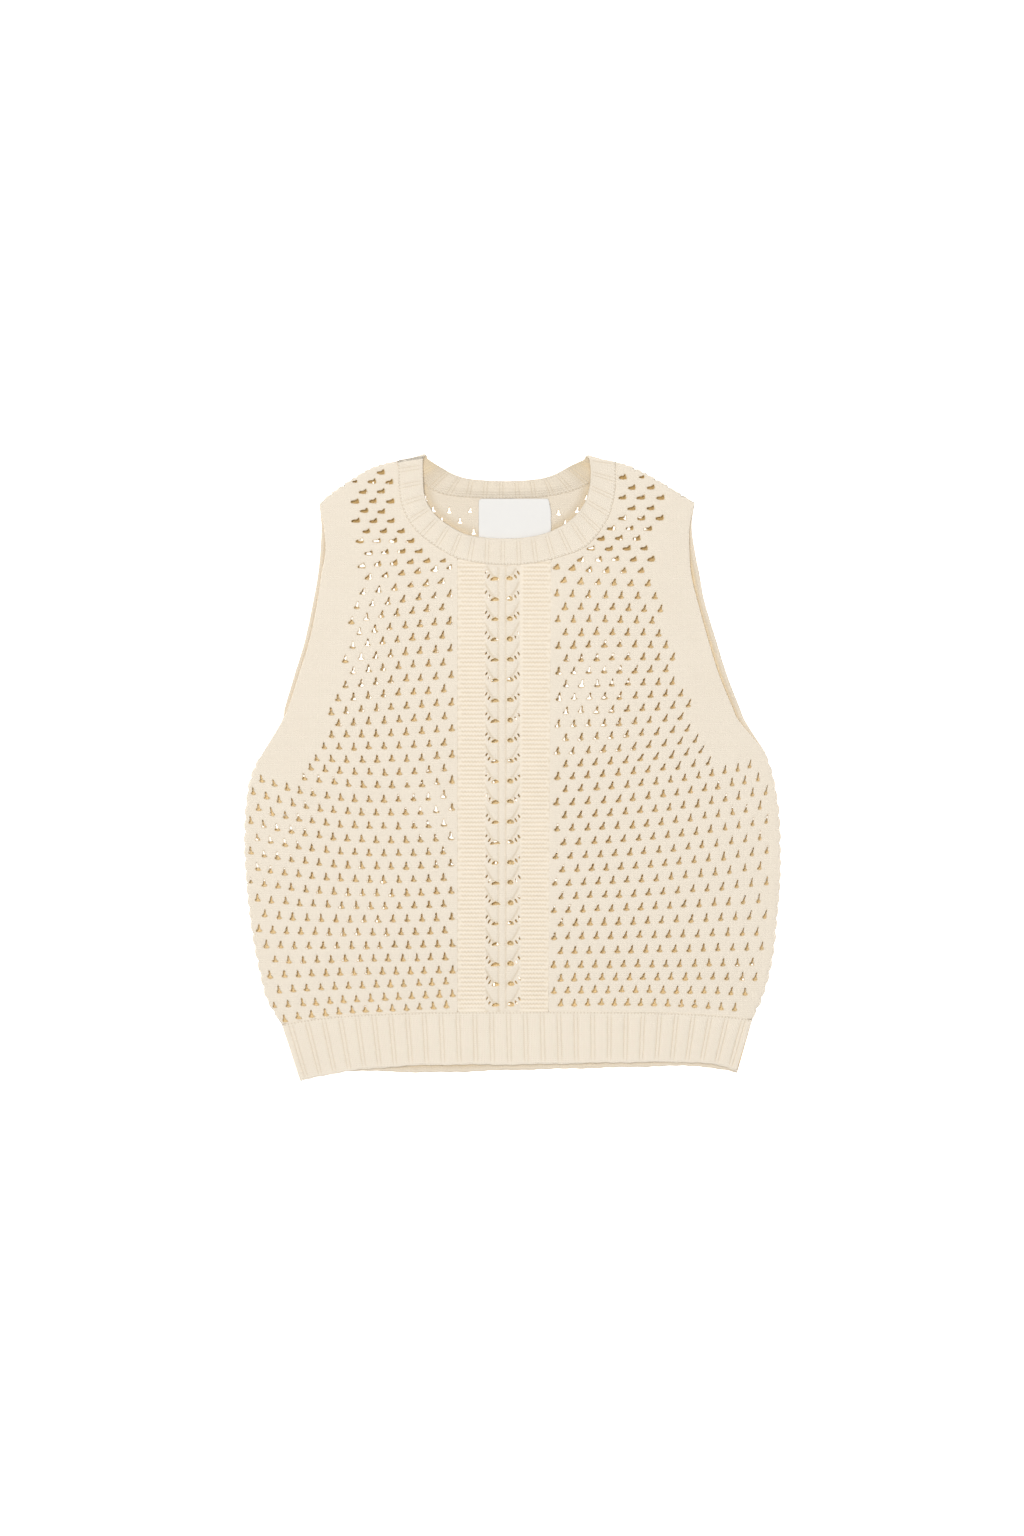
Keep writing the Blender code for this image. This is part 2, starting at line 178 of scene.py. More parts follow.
# Rows of eyelets in the front's left half and in its right half. Row numbers grow downwards. For
# each: x and the height y beside the centre strip, the distance between its eyelets, how far it
# runs outwards, how far its middle ones are drawn outwards, and how much higher it lies halfway
# and at its end.
LEFT_ROWS = (
    (-26, -51.8, 254.6, 15.3, 87.0, 0.0, 0.0, 0.0),
    (-21, -51.8, 212.8, 15.0, 87.0, 0.0, 0.0, 0.0),
    (-19, -51.8, 195.4, 14.4, 80.0, 0.0, 0.0, 0.0),
    (-17, -52.2, 178.9, 14.1, 80.0, 0.0, -1.7, -5.2),
    (-16, -53.0, 173.0, 14.0, 80.0, 0.0, -4.8, -10.5),
    (-13, -53.4, 138.9, 13.0, 88.0, 0.0, -4.7, -12.0),
    (-10, -52.8, 103.4, 12.9, 94.0, 0.0, -3.9, -10.3),
    (-6, -51.8, 57.0, 13.0, 105.0, 0.0, -3.8, -8.5),
    (-2, -51.9, 12.1, 12.9, 119.0, 0.0, -4.2, -2.6),
    (0, -52.0, -10.0, 12.7, 130.0, 0.0, -4.3, 3.4),
    (1, -52.0, -21.4, 12.1, 168.0, 4.5, -4.0, 14.0),
    (4, -52.6, -58.6, 12.3, 176.0, 3.0, -0.9, 14.6),
    (8, -52.4, -104.6, 12.3, 176.0, 2.5, -1.7, 8.5),
    (12, -51.6, -150.3, 12.3, 176.0, 0.3, -2.2, -0.9),
    (14, -51.2, -173.2, 12.1, 170.0, 0.0, -1.7, -5.2),
    (16, -50.8, -193.8, 11.8, 165.5, 0.0, -4.3, -11.1),
    (17, -50.6, -203.2, 11.6, 158.0, 0.0, -5.5, -13.9),
)
RIGHT_ROWS = (
    (-26, 38.2, 259.0, 16.3, 92.0, 0.0, 0.0, 0.0),
    (-21, 38.2, 215.0, 16.2, 92.0, 0.0, 0.0, 0.0),
    (-19, 37.6, 197.6, 15.5, 82.0, 0.0, 0.0, 0.0),
    (-17, 37.0, 180.0, 15.0, 86.0, 0.0, 0.0, 0.0),
    (-16, 37.2, 173.6, 14.7, 84.0, 0.0, -3.0, -3.4),
    (-13, 39.0, 139.6, 13.7, 93.0, 0.0, -0.9, -2.6),
    (-10, 40.0, 105.8, 13.2, 97.0, 0.0, 1.0, 0.4),
    (-6, 40.2, 61.6, 13.2, 112.0, 0.0, 0.7, 4.0),
    (-2, 39.4, 14.6, 13.2, 124.0, 0.0, 4.0, 11.6),
    (0, 39.4, -6.8, 13.0, 134.0, 0.0, 4.6, 14.0),
    (1, 39.0, -18.2, 12.2, 177.0, 6.0, 8.6, 24.3),
    (4, 39.0, -51.4, 12.4, 184.0, 3.0, 6.3, 21.2),
    (8, 37.0, -98.0, 12.6, 186.0, -0.8, 4.6, 15.6),
    (12, 36.2, -144.3, 12.5, 184.0, -1.2, 1.6, 4.5),
    (14, 35.8, -168.8, 12.2, 180.0, -0.8, 0.9, 2.7),
    (17, 36.4, -202.2, 11.5, 163.0, 0.0, 0.8, -3.9),
)

# How far the eyelets lean beside the strip and at a row's end, and their width and height there.
LEFT_FORMS = (
    (-26, 0.0, 0.0, 1.0, 1.0),
    (-14, 0.25, 0.1, 1.0, 1.0),
    (-6, 0.15, -0.05, 1.0, 1.0),
    (0, 0.0, -0.25, 0.95, 0.95),
    (5, -0.1, -0.2, 0.85, 1.0),
    (11, -0.05, 0.0, 0.95, 1.0),
    (17, 0.0, -0.3, 0.95, 0.95),
)
RIGHT_FORMS = (
    (-26, 0.0, 0.0, 1.0, 1.0),
    (-14, 0.1, 0.2, 1.0, 1.0),
    (-6, 0.1, 0.3, 0.9, 1.0),
    (-1, 0.2, 0.6, 0.55, 1.2),
    (1, 0.25, 0.1, 0.5, 1.25),
    (5, 0.25, 0.1, 0.5, 1.25),
    (11, 0.2, 0.2, 0.6, 1.2),
    (17, 0.1, 0.1, 0.8, 1.0),
)
FIRST_ROW, LAST_ROW = -26, 17
SHOULDER_SHAPE_ROW = -18    # up from here the eyelets are pulled wide and low
BODY_SHAPE_ROW = -14        # and down from here they have the body's shape

# How far the eyelets stay away from the edges, and how near a side they begin to shrink.
EYELET_ROOM = 2.9           # from the folded sides, at the eyelet's middle
SIDE_SHRINK = (0.5, 4.6)    # where their size would be nothing, and how much further it is full
SMALLEST_SIZE = 0.4
HEM_ROOM = 5.0              # the lowest row of the front is lifted to here
FRONT_SEAM_ROOM = 3.5       # from the seams of the neckband and the hem
BACK_SEAM_ROOM = 7.0
ARMHOLE_BORDER = 17.0       # the plain border of the front's armholes
BACK_ARMHOLE_BORDER = 9.0
JOINT_ROOM = 0.6            # from a joint between two pieces
NEIGHBOUR_SHARE = 0.96      # the largest share of the room between two eyelets that they take up

# How unlike each other the eyelets are.
SIZE_SCATTER = 0.06
OUTLINE_SCATTER = 0.1
LEAN_SCATTER = 0.06
FRONT_SCATTER = 0.22        # of their places
BACK_SCATTER = 0.2
BACK_LEAN_SCATTER = 0.08

# The back's eyelets, in its left half and its right one: the distance between them, the height of
# a row, x and y of the eyelet nearest the middle in row 0, how far a row is shifted to the right
# of the one above it, and its slope.
BACK_LATTICE = (
    (12.6, 11.46, 1.4, -3.2, 0.68, -0.056),
    (12.57, 11.77, 5.5, -3.25, -0.79, 0.097),
)
BACK_ROWS, BACK_COLUMNS = range(-22, 21), range(-38, 39)
BACK_JOIN = (-45.0, 35.0)   # one half's rows turn into the other's between these
BACK_HALF_SPACING = 6.3     # the distance between columns where they do
BACK_NECK_ROW = -17         # up from here the rows are closer and spread apart
BACK_NECK_PITCH = (9.15, 10.0)
BACK_NECK_SHIFT = 5.0
BACK_NECK_SIZE = 0.78       # and the eyelets are smaller

# An eyelet's outline in the body and on the shoulders, anticlockwise: across, up.
BODY_EYELET = (
    (-1.9, -2.9), (0.1, -3.15), (1.9, -2.9), (2.4, -2.3), (1.9, -1.7), (0.95, -1.1), (0.75, 0.4),
    (0.85, 1.9), (0.5, 2.9), (-0.3, 2.9), (-0.7, 1.9), (-0.75, 0.3), (-1.1, -1.0), (-2.3, -1.8),
)
SHOULDER_EYELET = (
    (-2.8, -1.4), (0.0, -1.8), (2.4, -1.7), (3.1, -1.0), (3.0, 0.0), (2.8, 1.0), (2.6, 1.8),
    (2.2, 2.2), (1.6, 2.0), (1.1, 1.2), (0.4, 0.6), (-1.1, 0.5), (-2.5, 0.5), (-3.2, -0.4),
)
# The points in these shapes that their rings grow away from.
BODY_HEART = (0.0, -1.7)
SHOULDER_HEART = (1.0, -0.5)

# Towards an eyelet the cloth rounds down from this far away, and its inner face less than its
# outer one, by these shares in the front and in the back. Along the outline there is no relief.
DIP_WIDTH = 1.7
DIP_REACH = 5.0
INNER_DIP = {True: 0.4, False: 0.6}
RELIEF_ROOM = 4.0

# Painted gloom, a deeper shade behind the eyelets, begins at this height and is full this much
# higher.
GLOOM_HEIGHT, GLOOM_REACH = 150.0, 45.0

# Painted shade at the back's outline, in the joints, in the hollows of the front's relief and in
# the lower half of the front's eyelets, and how far it fades in that of the back's.
EDGE_SHADE = 0.15
JOINT_SHADE = 0.5
HOLLOW_SHADE = 0.26
FRONT_LOWER_SHADE = 0.85
BACK_LOWER_SHARE = 0.4

# How an eyelet's wall is rounded: distance out from the narrowest line, share of the wall's half
# thickness above its middle, and how much painted shade its colour has there.
EYELET_WALL = (
    (0.0, 0.0, 1.0),
    (0.22, 0.62, 0.65),
    (0.6, 0.9, 0.2),
    (1.1, 1.0, 0.02),
)

# The centre strip: its left and right edge at the hem and at the neck.
STRIP_LEFT = ((-46.9, -215.0), (-46.9, 185.0))
STRIP_RIGHT = ((31.2, -215.0), (33.6, 185.0))
PURL_PITCH = 3.72
LEAF_PITCH = 17.45
LEAF_FIRST = 163.0          # height of the uppermost leaves' holes
LEAF_COUNT = 22
LEAF_DRIFT = 0.9            # how far the leaves move to the right down the strip
RIB_MIDDLE = -8.6           # x of the leaf cable's central rib
PURL_WAVE = 2.8             # breadth of the purl stitches
STRIP_GRID = (0.82, 3.2)    # distance between the mesh's points, above and below
# The strip's openings are narrow, so their painted shade climbs this many times further up.
STRIP_PAINTED_SHADE_CLIMB = 4.0          # its openings are narrow, so the depth's colour shows further up

# Between these x, in metres, the purl stitches fade out on both sides of the leaves.
PURL_LEFT = (-0.0238, -0.022)
PURL_RIGHT = (0.0064, 0.0082)

# The strip's relief.
PURL_LEFT_BREADTH, PURL_RIGHT_BREADTH = 24.5, 25.0
PURL_HEIGHT = 0.4                   # of the ridges, up and down
LEAF_HEIGHT = 0.95
LEAF_GROUND = 0.6                   # depth of the ground between the leaves
LEAF_RISE = 10.5                    # how much higher a leaf lies 13 mm out than beside the rib
LEAF_START, LEAF_END = 3.0, 17.5    # distances from the middle of the central rib
RIB_HEIGHT = 0.75
RIB_HALF = 2.6                      # half its breadth

# The openings round a leaf's foot: x from the central rib, height above the foot, width, height
# and lean.
LEAF_HOLES = (
    (-6.4, 0.0, 6.6, 2.6, 0.0),
    (-11.4, 1.9, 1.4, 3.2, 0.5),
    (-13.7, 5.6, 1.2, 2.8, 0.5),
    (6.7, 0.5, 5.2, 3.4, 0.0),
    (11.5, 1.9, 1.5, 3.2, -0.5),
    (14.1, 5.0, 1.3, 3.0, -0.5),
)

HOLE_SIZE_SCATTER, HOLE_OUTLINE_SCATTER, HOLE_SCATTER = 0.1, 0.05, 0.12

# A rib's cross-section: phase from the middle of the raised column to the middle of the narrow
# one, and depth below the raised column.
RIB_PROFILE = (
    (0.0, 0.0), (0.12, 0.03), (0.24, 0.12), (0.31, 0.3), (0.355, 0.75), (0.385, 1.0),
    (0.42, 0.72), (0.46, 0.55), (0.5, 0.5),
)
HEM_RIBS = 28
BAND_RIB_PITCH = 13.8

WALES_PER_RIB = 5.0
HEM_FADE, BAND_FADE = 5.0, 4.5      # the grooves fade out within these distances of the edges
# Painted shade in the rib grooves of the hem and of the neckband.
HEM_SHADE, BAND_SHADE = 0.19, 0.17  # depth of the colour in the grooves
HEM_INNER_GROOVE = 0.3      # depth of the grooves in the hem's inner face
BAND_GROOVE = 0.6           # depth of the neckband's grooves as a share of the hem's
BAND_INNER_GROOVE = 0.7     # and of those in its inner face as a share of these
FULLNESS = 0.078            # the hem's free edge is this much fuller at its ends

# Columns of points beside the hem's folded sides, rows of points down the hem from its seam and
# rows across the neckband from its seam, both as shares.
HEM_SIDE_COLUMNS = (0.25, 0.8, 1.6, 2.6)
HEM_DOWN = (0.0, 0.003, 0.009, 0.03, 0.07, *np.linspace(0.15, 0.85, 9), 0.92, 0.96, 0.982, 0.994,
            1.0)
BAND_ACROSS = (0.0, 0.006, 0.018, 0.06, 0.14, 0.26, 0.38, 0.5, 0.62, 0.74, 0.85, 0.92, 0.962,
               0.985, 1.0)
BAND_MIDDLE = -5.0          # x of the neckband's middle

STITCH_SLANT = 1.1          # how steeply the legs of a stitch rise from its middle

LABEL_LEFT, LABEL_RIGHT = -28.7, 33.3
LABEL_LOW, LABEL_HIGH = 192.9, 231.9
LABEL_WALL = 0.5
LABEL_CORNER = 3.0
LABEL_HEIGHT = 2.95         # of its lower part's middle over the floor
LABEL_STEP, LABEL_GRID = 2.0, 1.8   # distance between the points of its outline and inside it

JUMPER_TOP = 6.0            # the camera's picture height is measured at this height
FLOOR_SIZE = 12.0           # in metres, as is how far it lies under the jumper
FLOOR_GAP = 0.0004

# The lights: x, y and z in metres, and how wide each is.
KEY_LIGHT = ((-0.7, 0.7, 3.5), 1.6)
FILL_LIGHT = ((1.6, -0.9, 2.0), 2.2)


class JumperKnitSettings(bpy.types.PropertyGroup):
    """Sizes of the knit."""

    wale_width: bpy.props.FloatProperty(
        name="Wale width", description="Width of one column of stitches",
        default=0.0024, min=0.001, unit="LENGTH", precision=4)
    course_height: bpy.props.FloatProperty(
        name="Course height", description="Height of one row of stitches",
        default=0.00186, min=0.001, unit="LENGTH", precision=5)
    stitch_relief: bpy.props.FloatProperty(
        name="Stitch relief", description="How far the stitches stand out",
        default=0.00036, min=0.0, unit="LENGTH", precision=5)
    rib_depth: bpy.props.FloatProperty(
        name="Rib depth", description="Depth of the grooves between the ribs",
        default=0.0012, min=0.0, unit="LENGTH", precision=4)
    eyelet_dip: bpy.props.FloatProperty(
        name="Eyelet dip", description="How far the cloth rounds down towards an eyelet",
        default=0.0003, min=0.0, unit="LENGTH", precision=5)
    front_grid: bpy.props.FloatProperty(
        name="Front grid", description="Distance between the points of the front's mesh",
        default=0.0016, min=0.001, unit="LENGTH", precision=4)
    back_grid: bpy.props.FloatProperty(
        name="Back grid", description="Distance between the points of the back's mesh",
        default=0.0025, min=0.001, unit="LENGTH", precision=4)


class JumperColourSettings(bpy.types.PropertyGroup):
    """Colours of the cloth, the shade painted on it, and the label."""

    cream: bpy.props.FloatVectorProperty(
        name="Cream", description="Colour of the yarn in the light", subtype="COLOR",
        default=(0.90, 0.81, 0.68), min=0.0, max=1.0)
    # Painted shade: the cream darkened where grooves and hidden edges lie in shade.
    shade: bpy.props.FloatVectorProperty(
        name="Shade", description="Colour of the yarn in shallow grooves and at hidden edges",
        subtype="COLOR", default=(0.74, 0.63, 0.48), min=0.0, max=1.0)
    # Painted shade: a tan that stands for the shadow between the layers, seen inside the eyelets.
    depth: bpy.props.FloatVectorProperty(
        name="Depth", description="Colour of the yarn inside the eyelets", subtype="COLOR",
        default=(1.0, 0.77, 0.42), min=0.0, max=1.0)
    # Painted shade: a dark brown that stands for the deep shadow behind the shoulders' eyelets.
    gloom: bpy.props.FloatVectorProperty(
        name="Gloom", description="Colour of the yarn behind the shoulders' eyelets",
        subtype="COLOR", default=(0.52, 0.32, 0.1), min=0.0, max=1.0)
    label: bpy.props.FloatVectorProperty(
        name="Label", description="Colour of the woven label", subtype="COLOR",
        default=(0.78, 0.765, 0.735), min=0.0, max=1.0)
    floor: bpy.props.FloatVectorProperty(
        name="Floor", description="Colour of the floor", subtype="COLOR",
        default=(0.95, 0.95, 0.95), min=0.0, max=1.0)


class JumperStageSettings(bpy.types.PropertyGroup):
    """The camera and the lights."""

    picture_height: bpy.props.FloatProperty(
        name="Picture height", description="Length of floor that the picture takes in",
        default=1.321, min=0.1, unit="LENGTH")
    lens: bpy.props.FloatProperty(
        name="Lens", description="Focal length of the camera", default=85.0, min=10.0,
        unit="CAMERA")
    key_power: bpy.props.FloatProperty(
        name="Key light", description="Power of the large soft light", default=91.0, min=0.0,
        unit="POWER")
    fill_power: bpy.props.FloatProperty(
        name="Fill light", description="Power of the weaker light opposite", default=9.0,
        min=0.0, unit="POWER")
    room_light: bpy.props.FloatProperty(
        name="Room light", description="Strength of the light from all round", default=0.43,
        min=0.0)


# Paths and outlines ---------------------------------------------------------------------------

def smooth_path(points, steps, closed=False):
    """Catmull-Rom curve through the points, with so many equal steps in each span."""
    points = np.array(points, dtype=float)
    if closed:
        padded = np.vstack((points[-1:], points, points[:2]))
    else:
        padded = np.vstack((2.0 * points[0] - points[1], points, 2.0 * points[-1] - points[-2]))
    t = (np.arange(steps) / steps)[:, None]
    spans = []
    for before, start, end, after in zip(padded, padded[1:], padded[2:], padded[3:]):
        spans.append(0.5 * (2.0 * start + (end - before) * t
                            + (2.0 * before - 5.0 * start + 4.0 * end - after) * t ** 2
                            + (3.0 * start - before - 3.0 * end + after) * t ** 3))
    if not closed:
        spans.append(points[-1:])
    return np.vstack(spans)


def path_lengths(path):
    """Distance along a path to each of its points."""
    return np.concatenate(((0.0,), np.cumsum(np.linalg.norm(np.diff(path, axis=0), axis=1))))


def at_lengths(path, places):
    """The points of a path at these distances along it."""
    along = path_lengths(path)
    return np.column_stack([np.interp(places, along, column) for column in path.T])


def even_steps(step, *points):
    """The smooth curve through the points, walked in equal steps.

    A fine walk has no point but the ends within the corners' room of them.
    """
    curve = smooth_path(points, CURVE_STEPS)
    length = path_lengths(curve)[-1]
    places = np.linspace(0.0, length, max(2, round(length / step)) + 1)
    if step < CORNER_ROOM:
        inner = (places > CORNER_ROOM) & (places < length - CORNER_ROOM)
        inner[0] = inner[-1] = True
        places = places[inner]
    return at_lengths(curve, places)


def moved_aside(points, distance):
    """The open path, moved to its left by the distance."""
    ahead = np.gradient(points, axis=0)
    ahead /= np.linalg.norm(ahead, axis=1)[:, None]
    return points + np.reshape(distance, (-1, 1)) * np.column_stack((-ahead[:, 1], ahead[:, 0]))


def inset_loop(loop, distances):
    """The closed, anticlockwise loop with its points moved inwards by these distances."""
    ahead = np.roll(loop, -1, axis=0) - loop
    ahead /= np.maximum(np.linalg.norm(ahead, axis=1), 1e-9)[:, None]
    behind = np.roll(ahead, 1, axis=0)
    inward = np.column_stack((-(ahead + behind)[:, 1], (ahead + behind)[:, 0]))
    stretch = 2.0 / np.maximum(np.sum(inward ** 2, axis=1), 1.0)
    return loop + inward * (stretch * distances)[:, None]


def sides_of(loop):
    """Start points and end points of a closed loop's sides."""
    return loop, np.roll(loop, -1, axis=0)


def in_cells(points, size):
    """A number for the square cell that each point is in."""
    cells = np.floor(points / size).astype(int) + HALF_CELLS
    return cells[:, 0] * 2 * HALF_CELLS + cells[:, 1]


def distance_to(points, sides, reach=None):
    """Distance from each point to the nearest of the sides, or the reach where it is further."""
    starts, ends = sides
    if reach:
        spots = np.vstack((starts, (starts + ends) / 2.0))
        around = np.array([(x, y) for x in (-1, 0, 1) for y in (-1, 0, 1)]) * reach
        cells = in_cells((spots[:, None] + around).reshape(-1, 2), reach)
        near = np.isin(in_cells(points, reach), cells)
        distances = np.full(len(points), float(reach))
        if near.any():
            distances[near] = np.minimum(distance_to(points[near], sides), reach)
        return distances
    ways = ends - starts
    squares = np.maximum(np.sum(ways ** 2, axis=1), 1e-12)
    nearest = []
    for part in np.array_split(points, len(points) // AT_A_TIME + 1):
        away = part[:, None] - starts
        share = np.clip(np.sum(away * ways, axis=2) / squares, 0.0, 1.0)
        away -= share[:, :, None] * ways
        nearest.append(np.sqrt(np.min(np.sum(away ** 2, axis=2), axis=1)))
    return np.concatenate(nearest)


def is_inside(points, loop):
    """Whether each point is inside a closed loop, by counting crossings."""
    inside = np.zeros(len(points), dtype=bool)
    x, y = points.T
    for (x0, y0), (x1, y1) in zip(*sides_of(loop)):
        if y0 != y1:
            crosses = ((y0 > y) != (y1 > y)) & (x < x0 + (y - y0) * (x1 - x0) / (y1 - y0))
            inside ^= crosses
    return inside


def smooth_rise(share):
    """0 to 1, flat at both ends."""
    share = np.clip(share, 0.0, 1.0)
    return share * share * (3.0 - 2.0 * share)


# The neckband's line --------------------------------------------------------------------------

def fold_over(start, end, start_height, end_height):
    """Stations of a half turn between the two layers, bulging away from the body.

    The free edge bulges the more, as the point of the neck.
    """
    middle = (start_height + end_height) / 2.0
    radius = (start_height - end_height) / 2.0
    stations = []
    for degrees in FOLD_DEGREES:
        share = degrees / 180.0
        seam_x, seam_y, free_x, free_y = np.array(start) * (1.0 - share) + np.array(end) * share
        lift = abs(radius) * sin(pi * share)
        stations.append((seam_x, seam_y + lift, free_x, free_y + NECK_POINT_SHARE * lift,
                         middle + radius * np.cos(pi * share), 0.0))
    return stations


def band_sections(steps):
    """Sections round the neckband: seam x, y, free x, y, height and how far each arches up."""
    low = RIB_WALL / 2.0
    high = FRONT_UNDERSIDE + low + BAND_GAP
    stations = [(*row, high, BAND_FRONT_RISE) for row in BAND_FRONT]
    stations += fold_over(BAND_FRONT[-1], BAND_BACK[0], high, low)
    for index, row in enumerate(BAND_BACK):
        spread = sin(pi * index / (len(BAND_BACK) - 1))
        stations.append((*row, low, BAND_BACK_RISE * spread))
    stations += fold_over(BAND_BACK[-1], BAND_FRONT[0], low, high)
    sections = smooth_path(stations, steps, closed=True)
    sections[:, 4] = np.clip(sections[:, 4], low, high)
    return sections


def band_halves(steps=8):
    """The sections of the band's front half and of its back half."""
    sections = band_sections(steps)
    back_start = (len(BAND_FRONT) + len(FOLD_DEGREES)) * steps
    front_half = sections[:(len(BAND_FRONT) - 1) * steps + 1]
    back_half = sections[back_start:back_start + (len(BAND_BACK) - 1) * steps + 1]
    return front_half, back_half


def neck_opening():
    """The loop of the neckband's free edge, seen from above."""
    front_half, back_half = band_halves()
    return np.vstack((front_half[:, 2:4], back_half[:, 2:4]))


# The panels' outlines -------------------------------------------------------------------------

def scalloped(path, pitch, height):
    """The path with shallow bows outwards, to its right."""
    along = path_lengths(path)
    bow = height * (np.abs(np.sin(pi * along / pitch + 0.4 * np.sin(along / 19.0))) ** 0.7 - 0.6)
    return moved_aside(path, -bow * smooth_rise(along / SCALLOP_FADE)
                       * smooth_rise((along[-1] - along) / SCALLOP_FADE))


def panel_outline(is_front, step):
    """The outline of the front or the back, anticlockwise, and the kind of each of its sides.

    An outline in coarse steps has no scallops.
    """
    left_column, right_column = (2, 4) if is_front else (1, 3)
    front_half, back_half = band_halves()
    neck = front_half[::-1, :2] if is_front else back_half[:, :2]
    neck = at_lengths(neck, np.arange(CORNER_ROOM, path_lengths(neck)[-1] - CORNER_ROOM, step))
    neck_right = (BAND_FRONT[-1][0], BAND_FRONT[-1][1] + NECK_CORNER)
    neck_left = (BAND_FRONT[0][0], BAND_FRONT[0][1] + NECK_CORNER)

    def up(table, column, lowest, highest):
        return even_steps(step, lowest, *[(row[column], row[0]) for row in table], highest)

    right_side = up(SIDES, 2, HEM_SEAM[-1], UNDERARM_RIGHT)
    left_side = up(SIDES, 1, HEM_SEAM[0], UNDERARM_LEFT)[::-1]
    right_shoulder = even_steps(step, SHOULDER_TIP_RIGHT, *SHOULDER_RIGHT, neck_right)
    left_shoulder = even_steps(step, neck_left, *SHOULDER_LEFT[::-1], SHOULDER_TIP_LEFT)
    if step < CORNER_ROOM:
        right_side, left_side = (scalloped(side, SCALLOP_PITCH, SCALLOP_HEIGHT)
                                 for side in (right_side, left_side))
        right_shoulder, left_shoulder = (scalloped(side, SHOULDER_PITCH, SHOULDER_BUMP)
                                         for side in (right_shoulder, left_shoulder))
    stretches = (
        (even_steps(step, *HEM_SEAM), JOINED),
        (right_side, ROUNDED),
        (up(ARMHOLES, right_column, UNDERARM_RIGHT, SHOULDER_TIP_RIGHT), OPEN),
        (right_shoulder, ROUNDED),
        (np.vstack((neck_right, neck, neck_left)), JOINED),
        (left_shoulder, ROUNDED),
        (up(ARMHOLES, left_column, UNDERARM_LEFT, SHOULDER_TIP_LEFT)[::-1], OPEN),
        (left_side, ROUNDED),
    )
    outline = np.vstack([path[:-1] for path, _ in stretches])
    kinds = np.concatenate([np.full(len(path) - 1, kind) for path, kind in stretches])
    return outline, kinds


def line_x(line, heights):
    """x of a line up a panel at these heights."""
    (low_x, low_y), (high_x, high_y) = line
    return low_x + (high_x - low_x) * (heights - low_y) / (high_y - low_y)


def cut_along(outline, joints, line, side):
    """The part of an outline on one side of a line up the panel, with the cut as a joint.

    side is -1 for the part on the left and 1 for the part on the right.
    """
    beyond = side * (outline[:, 0] - line_x(line, outline[:, 1])) > 0.0
    first = next(index for index in range(len(outline)) if beyond[index] and not beyond[index - 1])
    outline, joints, beyond = (np.roll(part, -first, axis=0) for part in (outline, joints, beyond))
    count = int(np.argmin(beyond)) if not beyond.all() else len(beyond)

    def crossing(inner, outer):
        inner_gap = inner[0] - line_x(line, inner[1])
        outer_gap = outer[0] - line_x(line, outer[1])
        return inner + (outer - inner) * inner_gap / (inner_gap - outer_gap)

    start = crossing(outline[0], outline[-1])
    end = crossing(outline[count - 1], outline[count])
    steps = max(2, round(np.linalg.norm(end - start) / EDGE_STEP))
    joint = end + (start - end) * (np.arange(1, steps) / steps)[:, None]
    loop = np.vstack((start, outline[:count], end, joint))
    kinds = np.concatenate(((SHARED,), joints[:count], (SHARED,), np.full(len(joint), SPLIT)))
    return loop, kinds


# Eyelets --------------------------------------------------------------------------------------

def rings_of(shape, heart, spread=1.0):
    """An opening's outline and the wider rings round it, all grown away from its heart."""
    away = shape - heart
    length = np.linalg.norm(away, axis=1)[:, None]
    return np.array([heart + away * (1.0 + spread * out / length) for out, _, _ in EYELET_WALL])


def eyelet(place, shoulder_share, size, lean, rng):
    """The rings of one eyelet, its shape between the body's and the shoulders'."""
    shape = (np.array(BODY_EYELET) * (1.0 - shoulder_share)
             + np.array(SHOULDER_EYELET) * shoulder_share)
    heart = (np.array(BODY_HEART) * (1.0 - shoulder_share)
             + np.array(SHOULDER_HEART) * shoulder_share)
    size = np.asarray(size) * rng.normal(1.0, SIZE_SCATTER, 2)
    shape = shape * size + rng.normal(0.0, OUTLINE_SCATTER, shape.shape)
    rings = rings_of(shape, heart * size)
    rings[:, :, 0] += (lean + rng.normal(0.0, LEAN_SCATTER)) * rings[:, :, 1]
    return rings + place


def front_eyelets(rows, forms, outward, rng):
    """The eyelets in one half of the front, whether or not the panel reaches that far."""
    table, forms = np.array(rows), np.array(forms)
    seam = np.array(HEM_SEAM)
    made = []
    for row in range(FIRST_ROW, LAST_ROW + 1):
        start, height, spacing, breadth, bow, lift_half, lift_end = (
            np.interp(row, table[:, 0], column) for column in table.T[1:])
        inner_lean, outer_lean, width, length = (
            np.interp(row, forms[:, 0], column) for column in forms.T[1:])
        shoulder = np.clip((row - BODY_SHAPE_ROW) / (SHOULDER_SHAPE_ROW - BODY_SHAPE_ROW),
                           0.0, 1.0)
        for column in range(row % 2, int(breadth / spacing * 2.0) + 1, 2):
            out = column * spacing / 2.0
            share = out / breadth
            out += 4.0 * bow * share * (1.0 - share)
            lift = (share * (4.0 * lift_half - lift_end)
                    + share ** 2 * (2.0 * lift_end - 4.0 * lift_half))
            place = (start + outward * out, height + lift) + rng.normal(0.0, FRONT_SCATTER, 2)
            place[1] = max(place[1], np.interp(place[0], *seam.T) + HEM_ROOM + 0.1)
            size = np.array((width, length)) ** share ** 3
            lean = inner_lean + (outer_lean - inner_lean) * share
            made.append(eyelet(place, shoulder, size, lean, rng))
    return np.array(made)


